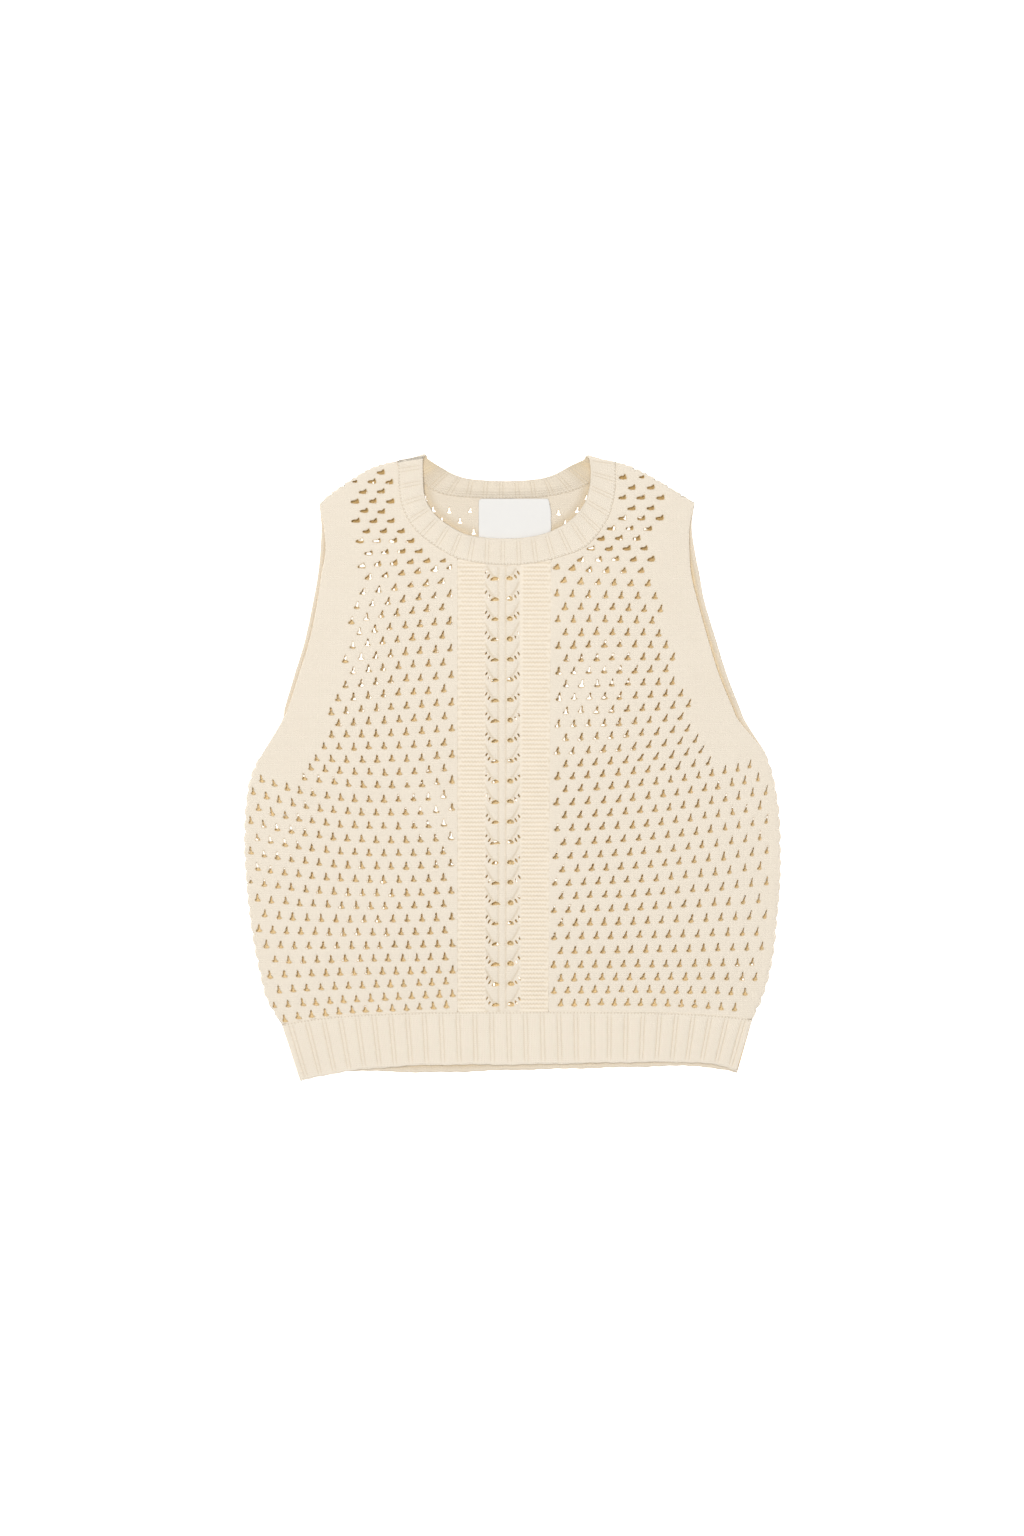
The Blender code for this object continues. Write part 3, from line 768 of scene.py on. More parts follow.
def back_eyelets(rng):
    """The back's eyelets, whether or not the panel reaches that far."""
    made = []
    for row in BACK_ROWS:
        above = max(BACK_NECK_ROW - row, 0)
        for column in BACK_COLUMNS:
            if (row + column) % 2:
                continue
            places = []
            for (spacing, pitch, x, y, shift, slope), neck_pitch, side in zip(
                    BACK_LATTICE, BACK_NECK_PITCH, (-1.0, 1.0)):
                x += shift * row + column * spacing / 2.0
                x += side * BACK_NECK_SHIFT * min(above / 2.0, 1.0)
                y += slope * x - pitch * (row + above) + neck_pitch * above
                places.append((x, y))
            left, right = np.array(places)
            share = smooth_rise((column * BACK_HALF_SPACING - BACK_JOIN[0])
                                / (BACK_JOIN[1] - BACK_JOIN[0]))
            place = left + (right - left) * share + rng.normal(0.0, BACK_SCATTER, 2)
            size = BACK_NECK_SIZE if above else 1.0
            lean = rng.normal(0.0, BACK_LEAN_SCATTER)
            made.append(eyelet(place, 0.0, (size, size), lean, rng))
    return np.array(made)


def beside_line(eyelets, line, side):
    """The eyelets, with those that come too near a joint moved away from it."""
    heights = eyelets[:, -1, :, 1]
    gap = side * (eyelets[:, -1, :, 0] - line_x(line, heights))
    push = np.maximum(JOINT_ROOM - np.min(gap, axis=1), 0.0)
    eyelets[:, :, :, 0] += side * push[:, None, None]
    return eyelets


def resized(eyelets, middles, sizes):
    """The eyelets, each made smaller round its middle."""
    middles = middles[:, None, None]
    return middles + (eyelets - middles) * sizes[:, None, None, None]


def within_sides(eyelets, sides):
    """The eyelets, with those near a folded side made smaller."""
    middles = eyelets[:, -1].mean(axis=1)
    nothing, further = SIDE_SHRINK
    sizes = np.clip((distance_to(middles, sides) - nothing) / further, SMALLEST_SIZE, 1.0)
    return resized(eyelets, middles, sizes)


def not_touching(eyelets):
    """The eyelets, with those made smaller whose rings would touch a neighbour's."""
    low, high = eyelets[:, -1].min(axis=1), eyelets[:, -1].max(axis=1)
    middles, half = (low + high) / 2.0, (high - low) / 2.0
    apart = np.max(np.abs(middles[:, None] - middles) / (half[:, None] + half), axis=2)
    np.fill_diagonal(apart, np.inf)
    return resized(eyelets, middles, np.minimum(apart.min(axis=1) * NEIGHBOUR_SHARE, 1.0))


# Sheets of cloth ------------------------------------------------------------------------------

class Cloth:
    """The mesh of one piece, collected in millimetres."""

    def __init__(self):
        self.points, self.stitches, self.painted_shades, self.triangles = [], [], [], []
        self.count = 0

    def add(self, points, stitches, painted_shades=0.0):
        """Adds vertices with their place in stitches and their painted shade; returns their
        numbers.
        """
        points = np.asarray(points, dtype=float).reshape(-1, 3)
        self.points.append(points)
        self.stitches.append(np.asarray(stitches, dtype=float).reshape(-1, 2))
        self.painted_shades.append(np.broadcast_to(np.asarray(painted_shades, dtype=float), (len(points),)))
        numbers = np.arange(self.count, self.count + len(points))
        self.count += len(points)
        return numbers

    def face(self, triangles):
        self.triangles.append(np.asarray(triangles).reshape(-1, 3))

    def bridge(self, lower, upper, closed=True):
        """Joins two rows of as many vertices, which may share some, with triangles."""
        after_lower, after_upper = np.roll(lower, -1), np.roll(upper, -1)
        if not closed:
            lower, upper = lower[:-1], upper[:-1]
            after_lower, after_upper = after_lower[:-1], after_upper[:-1]
        both = np.vstack((np.column_stack((lower, after_lower, after_upper)),
                          np.column_stack((lower, after_upper, upper))))
        real = ((both[:, 0] != both[:, 1]) & (both[:, 1] != both[:, 2])
                & (both[:, 2] != both[:, 0]))
        self.face(both[real])

    def grid(self, numbers, closed=False):
        """Joins the rows of a grid of vertex numbers."""
        for lower, upper in zip(numbers, numbers[1:]):
            self.bridge(lower, upper, closed)

    def make(self, name, material, slot, *nodes):
        """Turns the piece into an object on the frame, in metres, that stands for CAD nodes."""
        mesh = bpy.data.meshes.new(name)
        triangles = np.vstack(self.triangles)
        mesh.from_pydata(np.vstack(self.points) * MM, [], triangles)
        mesh.shade_smooth()
        corners = np.vstack(self.stitches)[triangles.ravel()]
        layer = mesh.uv_layers.new(name="stitches")
        layer.data.foreach_set("uv", corners.ravel())
        # Each point's amount of painted shade, which the yarn's material turns into darker
        # colours.
        depth = mesh.attributes.new("depth", "FLOAT", "POINT")
        depth.data.foreach_set("value", np.concatenate(self.painted_shades))
        mesh.materials.append(material)
        mesh.validate()
        made = bpy.data.objects.new(name, mesh)
        bpy.context.scene.collection.objects.link(made)
        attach(made, "root")
        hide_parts(*nodes)
        return made


def fill(cloth, loops, loop_numbers, inner, inner_numbers, faces_up):
    """Fills the first loop, but not the others, which are holes, through the inner points."""
    places = [Vector(point) for loop in (*loops, inner) for point in loop]
    numbers = np.concatenate((*loop_numbers, inner_numbers))
    edges = []
    first = 0
    for loop in loops:
        count = len(loop)
        edges += [(first + index, first + (index + 1) % count) for index in range(count)]
        first += count
    spots, _, faces, origins, _, _ = delaunay_2d_cdt(places, edges, [], 1, 1e-5)
    crossings = [tuple(spot) for spot, origin in zip(spots, origins) if not origin]
    if crossings:
        raise RuntimeError(f"an outline crosses itself or an eyelet at {crossings[:4]}")
    origins = np.array([origin[0] for origin in origins])
    triangles = origins[np.array(faces)]
    sizes = [len(loop) for loop in loops]
    hole = np.repeat(np.arange(len(loops)), sizes)
    hole = np.concatenate((hole, -np.ones(len(inner), dtype=int)))[triangles]
    in_order = np.sum(np.roll(triangles, -1, axis=1) > triangles, axis=1) == 2
    in_hole = (hole[:, 0] > 0) & np.all(hole == hole[:, :1], axis=1) & in_order
    triangles = numbers[triangles[~in_hole]]
    cloth.face(triangles if faces_up else triangles[:, ::-1])


def hex_grid(loop, spacing):
    """Points in rows, half a spacing apart in turn, inside a loop."""
    low, high = loop.min(axis=0), loop.max(axis=0)
    xs = np.arange(low[0], high[0], spacing)
    ys = np.arange(low[1], high[1], spacing * sin(pi / 3.0))
    x, y = np.meshgrid(xs, ys)
    x[1::2] += spacing / 2.0
    points = np.column_stack((x.ravel(), y.ravel()))
    return points[is_inside(points, loop)]


def near_each(points, loops, reach):
    """For each loop, the loop and the numbers of the points that may be within reach of it."""
    order = np.argsort(points[:, 1])
    heights = points[order, 1]
    for loop in loops:
        low, high = loop.min(axis=0) - reach, loop.max(axis=0) + reach
        first, last = np.searchsorted(heights, (low[1], high[1]))
        some = order[first:last]
        some = some[(points[some, 0] > low[0]) & (points[some, 0] < high[0])]
        if len(some):
            yield loop, some


def clear_of(points, loops, room):
    """Whether each point is outside all the small loops and at least so far from them."""
    clear = np.ones(len(points), dtype=bool)
    for loop, near in near_each(points, loops, room):
        spots = points[near]
        clear[near] &= ~is_inside(spots, loop) & (distance_to(spots, sides_of(loop)) > room)
    return clear


def distance_to_openings(points, loops, reach):
    """Distance to the nearest opening's outline, or the reach where all are further."""
    nearest = np.full(len(points), float(reach))
    for loop, near in near_each(points, loops, reach):
        nearest[near] = np.minimum(nearest[near], distance_to(points[near], sides_of(loop)))
    return nearest


def quarter_round(distance, radius):
    """Share of the full height that a rounded edge has at a distance in from it."""
    share = np.clip(distance / radius, 0.0, 1.0)
    return np.sqrt(np.maximum(1.0 - (1.0 - share) ** 2, 0.0))


def rolled_faces(is_front, wall, to_side):
    """Heights of a layer's outer and inner face, which meet where its sides fold over."""
    inner = FRONT_UNDERSIDE if is_front else wall
    outer = inner + wall if is_front else 0.0
    return [MEETING_HEIGHT + (face - MEETING_HEIGHT) * quarter_round(to_side, radius)
            for face, radius in ((outer, ROLL_RADIUS), (inner, wall))]


def thinned(outer, inner, share):
    """Both faces drawn towards their middle, down to this share of the thickness."""
    middle = (outer + inner) / 2.0
    return middle + (outer - middle) * share, middle + (inner - middle) * share


class Layer:
    """One layer of the body, front or back: its outline, its heights and its painted shade where
    hidden.
    """

    def __init__(self, is_front):
        self.is_front = is_front
        self.outline, kinds = panel_outline(is_front, EDGE_STEP)
        starts, ends = sides_of(self.outline)
        within = (kinds == JOINED) & (np.roll(kinds, 1) == JOINED)
        self.joints = np.where(within, SPLIT, SHARED)
        self.rounded_sides, self.open_sides, self.joined_sides = (
            (starts[kinds == kind], ends[kinds == kind]) for kind in (ROUNDED, OPEN, JOINED))
        coarse, _ = panel_outline(is_front, COARSE_STEP)
        self.coarse_sides = sides_of(coarse)
        self.opening = neck_opening()

    def puff(self, points):
        """How far the layer stands off the one below: nothing at the edges."""
        if not self.is_front:
            return np.zeros(len(points))
        x, y = points.T
        grown = smooth_rise(distance_to(points, self.coarse_sides) / PUFF_REACH)
        wave = np.sin(x / 31.0 + 0.8 * np.sin(y / 47.0)) * np.cos(y / 58.0 + x / 90.0)
        return grown * (PUFF + WAVE_HEIGHT * wave)

    def heights(self, points):
        """Heights of the upper and the lower face, rounded at the edges."""
        to_rounded = distance_to(points, self.rounded_sides, EDGE_REACH)
        seamed = quarter_round(distance_to(points, self.open_sides, EDGE_REACH), SEAM_RADIUS)
        outer, inner = thinned(*rolled_faces(self.is_front, PANEL_WALL, to_rounded), seamed)
        upper, lower = (outer, inner) if self.is_front else (inner, outer)
        puff = self.puff(points)
        return upper + puff, lower + puff

    def painted_shades(self, points, is_upper):
        """How much shade is painted on each place of a face, as it lies hidden between the layers.

        It is 0 in the open, 1 between the layers and 2 in the gloom under the front's shoulders.
        The back has less painted shade inside the neck and at its armholes, where it shows.
        """
        if is_upper == self.is_front:
            return np.zeros(len(points))
        if self.is_front:
            return np.ones(len(points))
        into = distance_to(points, sides_of(self.opening), 20.0) * np.where(
            is_inside(points, self.opening), 1.0, -1.0)
        from_armhole = distance_to(points, self.open_sides, 12.0)
        # Painted shade: full between the layers, less towards the neck opening and the armholes.
        hidden = (1.0 - 0.48 * smooth_rise((into + 12.0) / 8.0)
                  - 0.42 * smooth_rise((into + 4.0) / 15.0))
        hidden *= 0.12 + 0.88 * smooth_rise((from_armhole - 1.5) / 9.0)
        # Painted gloom where the back is most hidden, under the front's shoulders.
        painted_gloom_share = smooth_rise((points[:, 1] - GLOOM_HEIGHT) / GLOOM_REACH)
        return hidden + painted_gloom_share * smooth_rise((hidden - 0.85) / 0.15)


def stitch_places(points):
    """Where the points are in the knit, counted in wales and courses."""
    knit = bpy.context.scene.jumper_knit
    return points[:, :2] * MM / (knit.wale_width, knit.course_height)


def openwork(layer, loop, kinds, eyelets, upper_grid, lower_grid, relief, painted_shade_climb=1.0):
    """A closed sheet of openwork inside a loop, with its eyelets and its relief.

    relief gives, for an array of points, how far the layer's outer face stands out there, and
    the last argument is how far the painted shade climbs up the eyelets' walls.
    """
    knit = bpy.context.scene.jumper_knit
    dip = knit.eyelet_dip / MM
    cloth = Cloth()
    openings, shoulders = eyelets[:, 0], eyelets[:, -1]

    def faces(points):
        """Heights of both faces with the relief and the dips round the eyelets."""
        upper, lower = layer.heights(points)
        near = distance_to_openings(points, openings, DIP_REACH)
        sunk = dip * np.exp(-(near / DIP_WIDTH) ** 2)
        edge = sides_of(layer.outline)
        room = quarter_round(distance_to(points, edge, EDGE_REACH), RELIEF_ROOM)
        raised = relief(points) * room
        upper, lower = upper - sunk * room, lower + INNER_DIP[layer.is_front] * sunk * room
        return (upper + raised, lower) if layer.is_front else (upper, lower - raised)

    shared = kinds == SHARED
    edge_upper, edge_lower = faces(loop)
    middle = np.where(shared, (edge_upper + edge_lower) / 2.0, edge_upper)
    # The back's outline and the joint walls get painted shade.
    upper_loop = cloth.add(np.column_stack((loop, middle)), stitch_places(loop),
                           0.0 if layer.is_front else EDGE_SHADE)
    wall_loop = cloth.add(np.column_stack((loop, edge_lower))[~shared],
                          stitch_places(loop[~shared]), JOINT_SHADE)
    lower_loop = upper_loop.copy()
    lower_loop[~shared] = wall_loop
    cloth.bridge(lower_loop, upper_loop)

    rows = []
    for distance in EDGE_ROWS:
        row = inset_loop(loop, np.full(len(loop), distance))
        off = distance_to(row, sides_of(loop), EDGE_REACH)
        rows.append(row[is_inside(row, loop) & (off > 0.8 * distance)])
    rows = np.vstack(rows)
    rows = rows[clear_of(rows, shoulders, 0.4)]

    rims_and_heights = []
    for is_upper, spacing in ((True, upper_grid), (False, lower_grid)):
        inner = hex_grid(loop, spacing)
        inner = inner[distance_to(inner, sides_of(loop), EDGE_REACH)
                      > EDGE_ROWS[-1] + 0.45 * spacing]
        inner = inner[clear_of(inner, shoulders, 0.5 * spacing)]
        inner = np.vstack((rows, inner))
        heights = faces(inner)[0 if is_upper else 1]
        painted_shades = layer.painted_shades(inner, is_upper)
        # The hollows of the front's relief get painted shade.
        if is_upper and layer.is_front:
            painted_shades = HOLLOW_SHADE * smooth_rise(-(relief(inner) + 0.1) / 0.55)
        inner_numbers = cloth.add(np.column_stack((inner, heights)), stitch_places(inner), painted_shades)
        flat = shoulders.reshape(-1, 2)
        rim_heights = faces(flat)[0 if is_upper else 1]
        # The rims get at least the outermost ring's painted shade.
        rims = cloth.add(np.column_stack((flat, rim_heights)), stitch_places(flat),
                         np.maximum(layer.painted_shades(flat, is_upper), EYELET_WALL[-1][2]))
        rims = rims.reshape(shoulders.shape[:2])
        rims_and_heights.append((rims, rim_heights))
        fill(cloth, [loop, *shoulders], [upper_loop if is_upper else lower_loop, *rims], inner,
             inner_numbers, is_upper)
    wall_eyelets(cloth, layer, eyelets, *rims_and_heights, painted_shade_climb)
    return cloth


def wall_eyelets(cloth, layer, eyelets, upper, lower, painted_shade_climb):
    """The rounded walls of the eyelets, between their rims in the upper and the lower face."""
    upper_rims, upper_heights = upper
    lower_rims, lower_heights = lower
    middle = (upper_heights + lower_heights) / 2.0
    half = (upper_heights - lower_heights) / 2.0
    count = len(EYELET_WALL) - 1
    rings = [upper_rims]
    for step in range(-count + 1, count):
        # Each ring's painted shade: from the table in the upper half; in the lower half the
        # front's is fixed and the back's fainter.
        _, share, depth = EYELET_WALL[abs(step)]
        flat = eyelets[:, abs(step)].reshape(-1, 2)
        if step > 0:
            share = -share
            depth = FRONT_LOWER_SHADE if layer.is_front else BACK_LOWER_SHARE * depth
        numbers = cloth.add(np.column_stack((flat, middle + half * share)), stitch_places(flat),
                            min(depth * painted_shade_climb, 1.0))
        rings.append(numbers.reshape(upper_rims.shape))
    rings.append(lower_rims)
    for outer, inner in zip(rings, rings[1:]):
        for outer_ring, inner_ring in zip(outer, inner):
            cloth.bridge(outer_ring, inner_ring)


# Relief of the front's parts ------------------------------------------------------------------

def plain_relief(points):
    """Soft unevenness of a hand-laid knit."""
    x, y = points.T
    return 0.12 * np.sin(x / 7.3 + 1.7 * np.sin(y / 23.0)) * np.sin(y / 9.1 + x / 31.0)


def lace_relief(points):
    """Purl ridges in the two outer columns and leaves on both sides of a rib in the middle."""
    x, y = points.T
    left, right = line_x(STRIP_LEFT, y), line_x(STRIP_RIGHT, y)
    in_purl = np.maximum(smooth_rise((left + PURL_LEFT_BREADTH - x) / 1.8),
                         smooth_rise((x - right + PURL_RIGHT_BREADTH) / 1.8))
    zigzag = 0.5 * np.abs((x / PURL_WAVE) % 1.0 - 0.5)
    ridges = PURL_HEIGHT * np.cos(2.0 * pi * (y / PURL_PITCH + zigzag)) - 0.05

    out = np.abs(x - RIB_MIDDLE)
    rise = LEAF_RISE * np.clip((out - 5.4) / 7.5, 0.0, 1.25) ** 1.4
    phase = ((LEAF_FIRST - y + rise) / LEAF_PITCH) % 1.0
    leaf = LEAF_HEIGHT * np.sin(pi * phase) * smooth_rise((out - LEAF_START) / 1.6) - LEAF_GROUND
    leaf *= smooth_rise((LEAF_END - out) / 4.0)
    rib = RIB_HEIGHT * np.exp(-((x - RIB_MIDDLE) / RIB_HALF) ** 4)
    crease = 0.2 * np.exp(-((x - RIB_MIDDLE - 1.2) / 0.6) ** 2)
    between = leaf + (rib - crease)
    return in_purl * ridges + (1.0 - in_purl) * between + 0.3 * plain_relief(points)


def lace_holes(rng):
    """The openings at the foot of each leaf, and the slits between the strands beside them."""
    holes = []
    for leaf in range(LEAF_COUNT):
        middle = RIB_MIDDLE + LEAF_DRIFT * leaf / LEAF_COUNT
        for x, y, width, height, lean in LEAF_HOLES:
            angles = 2.0 * pi * np.arange(8) / 8.0
            shape = np.column_stack((np.cos(angles) * width / 2.0, np.sin(angles) * height / 2.0))
            shape = (shape * rng.normal(1.0, HOLE_SIZE_SCATTER, 2)
                     + rng.normal(0.0, HOLE_OUTLINE_SCATTER, shape.shape))
            shape[:, 0] += lean * shape[:, 1]
            if width > height:
                shape[:, 1] -= 0.09 * shape[:, 0] ** 2 + 0.08 * np.sign(x) * shape[:, 0]
            rings = rings_of(shape, np.zeros(2), 0.7 if width > 2.0 else 0.3)
            place = np.array((middle + x, LEAF_FIRST - leaf * LEAF_PITCH + y))
            holes.append(rings + place + rng.normal(0.0, HOLE_SCATTER, 2))
    return np.array(holes)


# Materials ------------------------------------------------------------------------------------

class Socket:
    """A node's output that takes part in Python expressions."""

    def __init__(self, nodes, output):
        self.nodes = nodes
        self.output = output

    def math(self, operation, *others):
        settings = {"operation": operation}
        return self.nodes.add("ShaderNodeMath", settings, (self, *others))

    def __add__(self, other):
        return self.math("ADD", other)

    def __radd__(self, other):
        return self.math("ADD", other)

    def __sub__(self, other):
        return self.math("SUBTRACT", other)

    def __rsub__(self, other):
        return self.nodes.add("ShaderNodeMath", {"operation": "SUBTRACT"}, (other, self))

    def __mul__(self, other):
        return self.math("MULTIPLY", other)

    def __rmul__(self, other):
        return self.math("MULTIPLY", other)

    def __truediv__(self, other):
        return self.math("DIVIDE", other)

    def absolute(self):
        return self.math("ABSOLUTE")

    def fraction(self):
        return self.math("FRACT")

    def sine(self):
        return self.math("SINE")

    def smooth(self, low, high):
        """0 below low and 1 above high, smooth between."""
        return self.nodes.add("ShaderNodeMapRange", {"interpolation_type": "SMOOTHSTEP"},
                              {"Value": self, "From Min": low, "From Max": high})


class Nodes:
    """A material's node tree with one way to add any node."""

    def __init__(self, name):
        self.material = bpy.data.materials.new(name)
        self.material.use_nodes = True
        self.tree = self.material.node_tree
        self.shader = self.tree.nodes["Principled BSDF"]

    def add(self, kind, settings=(), inputs=(), output=0):
        """Adds a node with these settings, then these values or links, and gives an output."""
        node = self.tree.nodes.new(kind)
        for name, value in dict(settings).items():
            setattr(node, name, value)
        items = inputs.items() if isinstance(inputs, dict) else enumerate(inputs)
        for key, value in items:
            self.feed(node.inputs[key], value)
        return Socket(self, node.outputs[output])

    def feed(self, socket, value):
        """Links a socket to an output or sets its value."""
        if isinstance(value, Socket):
            self.tree.links.new(value.output, socket)
        else:
            socket.default_value = value

    def mix(self, factor, first, second):
        """A colour between two colours."""
        first, second = (value if isinstance(value, Socket) else (*value, 1.0)
                         for value in (first, second))
        return self.add("ShaderNodeMix", {"data_type": "RGBA"},
                        {0: factor, 6: first, 7: second}, 2)

    def mottled(self, colour, scale, share, darkness):
        """The colour, softly mixed in places with a darker one."""
        return self.mix(self.noise(scale) * share, colour, [darkness * part for part in colour])

    def parts(self, vector):
        """x and y of a vector."""
        x = self.add("ShaderNodeSeparateXYZ", {}, (vector,))
        return x, Socket(self, x.output.node.outputs[1])

    def noise(self, scale, detail=2.0):
        """Noise over the object's own coordinates, from 0 to 1."""
        place = self.add("ShaderNodeTexCoord", output="Object")
        return self.add("ShaderNodeTexNoise", {},
                        {"Vector": place, "Scale": scale, "Detail": detail})

    def finish(self, colour, height, distance, **uniform):
        """Feeds the colour and the bump, and sets the shader's uniform values."""
        self.feed(self.shader.inputs["Base Color"], colour)
        bump = self.add("ShaderNodeBump", {}, {"Height": height, "Distance": distance,
                                               "Strength": 1.0})
        self.feed(self.shader.inputs["Normal"], bump)
        for name, value in uniform.items():
            self.shader.inputs[name.replace("_", " ")].default_value = value
        return self.material


def yarn_material(name, stitch_share, seam=False, purl=False):
    """Matt cream yarn: V stitches in columns, soft fibres and painted shade in its grooves and
    depths.

    Painted shade turns the cream to the shade colour at 0.3, the eyelets' tan at 1, then to gloom.
    seam adds the row of joining stitches at a band's seam, and purl the centre strip's ridges.
    """
    knit = bpy.context.scene.jumper_knit
    colours = bpy.context.scene.jumper_colours
    nodes = Nodes(name)
    wale, course = nodes.parts(nodes.add("ShaderNodeUVMap", {"uv_map": "stitches"}))
    off_middle = (wale.fraction() - 0.5).absolute()
    along = (course + off_middle * STITCH_SLANT).fraction()
    leg = (along * pi).sine() * (off_middle * (2.0 * pi)).sine()
    # Painted shade in the grooves between the stitches.
    grooves = (1.0 - leg) * 0.05 * stitch_share

    if purl:
        x, y = nodes.parts(nodes.add("ShaderNodeTexCoord", output="Object"))
        zigzag = ((x / (PURL_WAVE * MM)).fraction() - 0.5).absolute() * 0.5
        ridge = ((y / (PURL_PITCH * MM) + zigzag + 0.25) * (2.0 * pi)).sine() * 0.5 + 0.5
        purled = 1.0 - x.smooth(*PURL_LEFT) + x.smooth(*PURL_RIGHT)
        leg = leg * (1.0 - purled * 0.7) + ridge * purled * 0.8
        # Painted shade between the purl ridges.
        grooves = grooves + (1.0 - ridge) * purled * 0.09
    if seam:
        row = course.smooth(0.05, 0.3) * (1.0 - course.smooth(0.55, 0.9))
        stitches = row * off_middle.smooth(0.2, 0.38)
        grooves = grooves + stitches * 0.22
        leg = leg - stitches * 0.5

    fibres = nodes.noise(2600.0, 3.0)
    height = leg * stitch_share + fibres * 0.12
    depth = nodes.add("ShaderNodeAttribute", {"attribute_name": "depth"}, output="Fac")
    # The amount of painted shade, with the seam's darker stitches and a faint random tone, picks
    # the colour from cream through shade and the eyelets' tan to gloom.
    painted_shade_and_tone = depth + grooves + (nodes.noise(38.0, 3.0) - 0.5) * 0.05
    colour = nodes.mix(painted_shade_and_tone * 3.3, colours.cream, colours.shade)
    colour = nodes.mix((painted_shade_and_tone - 0.3) * 1.4, colour, colours.depth)
    colour = nodes.mix((painted_shade_and_tone - 1.1) * 0.8, colour, colours.gloom)
    return nodes.finish(colour, height, knit.stitch_relief, Roughness=0.92,
                        Specular_IOR_Level=0.15, Sheen_Weight=0.06, Sheen_Roughness=0.5)


def label_material():
    """Smooth white woven label: fine threads across and a faint mottle."""
    nodes = Nodes("woven_label")
    x, y = nodes.parts(nodes.add("ShaderNodeTexCoord", output="Object"))
    threads = (y * 6000.0).sine() * 0.5 + (x * 5000.0).sine() * 0.3
    colour = nodes.mottled(bpy.context.scene.jumper_colours.label, 90.0, 0.3, 0.93)
    return nodes.finish(colour, threads, 0.00003, Roughness=0.7, Specular_IOR_Level=0.2)


# Operators ------------------------------------------------------------------------------------

class JUMPER_OT_front(bpy.types.Operator):
    """Knits the front: two openwork halves and the centre strip between them"""

    bl_idname = "jumper.front"
    bl_label = "Knit the Front"

    def execute(self, context):
        knit = context.scene.jumper_knit
        grid = knit.front_grid / MM
        rng = np.random.default_rng(11)
        layer = Layer(True)
        yarn = yarn_material("openwork_front_yarn", 1.0)
        for name, side, line, rows, forms, column, underarm, tip in (
                ("front_openwork_left", -1, STRIP_LEFT, LEFT_ROWS, LEFT_FORMS, 2,
                 UNDERARM_LEFT, SHOULDER_TIP_LEFT),
                ("front_openwork_right", 1, STRIP_RIGHT, RIGHT_ROWS, RIGHT_FORMS, 4,
                 UNDERARM_RIGHT, SHOULDER_TIP_RIGHT)):
            loop, kinds = cut_along(layer.outline, layer.joints, line, side)
            armhole = np.array([underarm, *[(row[column], row[0]) for row in ARMHOLES], tip])
            eyelets = beside_line(front_eyelets(rows, forms, side, rng), line, side)
            places = eyelets[:, 0].mean(axis=1)
            keep = is_inside(places, loop)
            keep &= distance_to(places, layer.joined_sides) > FRONT_SEAM_ROOM
            keep &= distance_to(places, layer.rounded_sides) > EYELET_ROOM
            keep &= distance_to(places, (armhole[:-1], armhole[1:])) > ARMHOLE_BORDER
            eyelets = not_touching(within_sides(eyelets[keep], layer.rounded_sides))
            cloth = openwork(layer, loop, kinds, eyelets, grid, 2.0 * grid, plain_relief)
            made = cloth.make(name, yarn, "openwork_knit", "front_panel")

        loop, kinds = cut_along(layer.outline, layer.joints, STRIP_LEFT, 1)
        loop, kinds = cut_along(loop, kinds, STRIP_RIGHT, -1)
        cloth = openwork(layer, loop, kinds, lace_holes(rng), *STRIP_GRID, lace_relief,
                         STRIP_PAINTED_SHADE_CLIMB)
        yarn = yarn_material("lace_strip_yarn", 1.0, purl=True)
        made = cloth.make("front_lace_strip", yarn, "openwork_knit", "front_panel")
        return {"FINISHED"}


class JUMPER_OT_back(bpy.types.Operator):
    """Knits the back in two halves that meet in the middle"""

    bl_idname = "jumper.back"
    bl_label = "Knit the Back"

    def execute(self, context):
        grid = context.scene.jumper_knit.back_grid / MM
        rng = np.random.default_rng(23)
        layer = Layer(False)
        yarn = yarn_material("openwork_back_yarn", 1.0)
        eyelets = back_eyelets(rng)
        places = eyelets[:, 0].mean(axis=1)
        keep = is_inside(places, layer.outline)
        keep &= distance_to(places, layer.open_sides) > BACK_ARMHOLE_BORDER
        keep &= distance_to(places, layer.joined_sides) > BACK_SEAM_ROOM
        keep &= distance_to(places, layer.rounded_sides) > EYELET_ROOM
        eyelets, places = within_sides(eyelets[keep], layer.rounded_sides), places[keep]
        middle = ((0.0, -215.0), (0.0, 240.0))
        for name, side in (("back_openwork_left", -1), ("back_openwork_right", 1)):
            loop, kinds = cut_along(layer.outline, layer.joints, middle, side)
            here = eyelets[places[:, 0] * side > 0.0]
            here = not_touching(beside_line(here, middle, side))
            cloth = openwork(layer, loop, kinds, here, grid, grid, plain_relief)
            made = cloth.make(name, yarn, "openwork_knit", "back_panel")
        return {"FINISHED"}


def edge_share(distance, at_join):
    """Share of a band's full thickness at a distance from its seam or from its free edge."""
    joined = JOIN_SHARE + (1.0 - JOIN_SHARE) * quarter_round(distance, JOIN_RADIUS)
    return np.where(at_join, joined, quarter_round(distance, SEAM_RADIUS))


class JUMPER_OT_hem(bpy.types.Operator):
    """Knits the ribbed hem in both layers"""

    bl_idname = "jumper.hem"
    bl_label = "Knit the Hem"

    def execute(self, context):
        yarn = yarn_material("rib_yarn", 1.0, seam=True)
        for name, is_front, edge, node in (
                ("front_hem_ribbing", True, HEM_EDGE_FRONT, "front_hem_rib"),
                ("back_hem_ribbing", False, HEM_EDGE_BACK, "back_hem_rib")):
            cloth = hem_cloth(is_front, edge)
            made = cloth.make(name, yarn, "rib_knit", node)
        return {"FINISHED"}


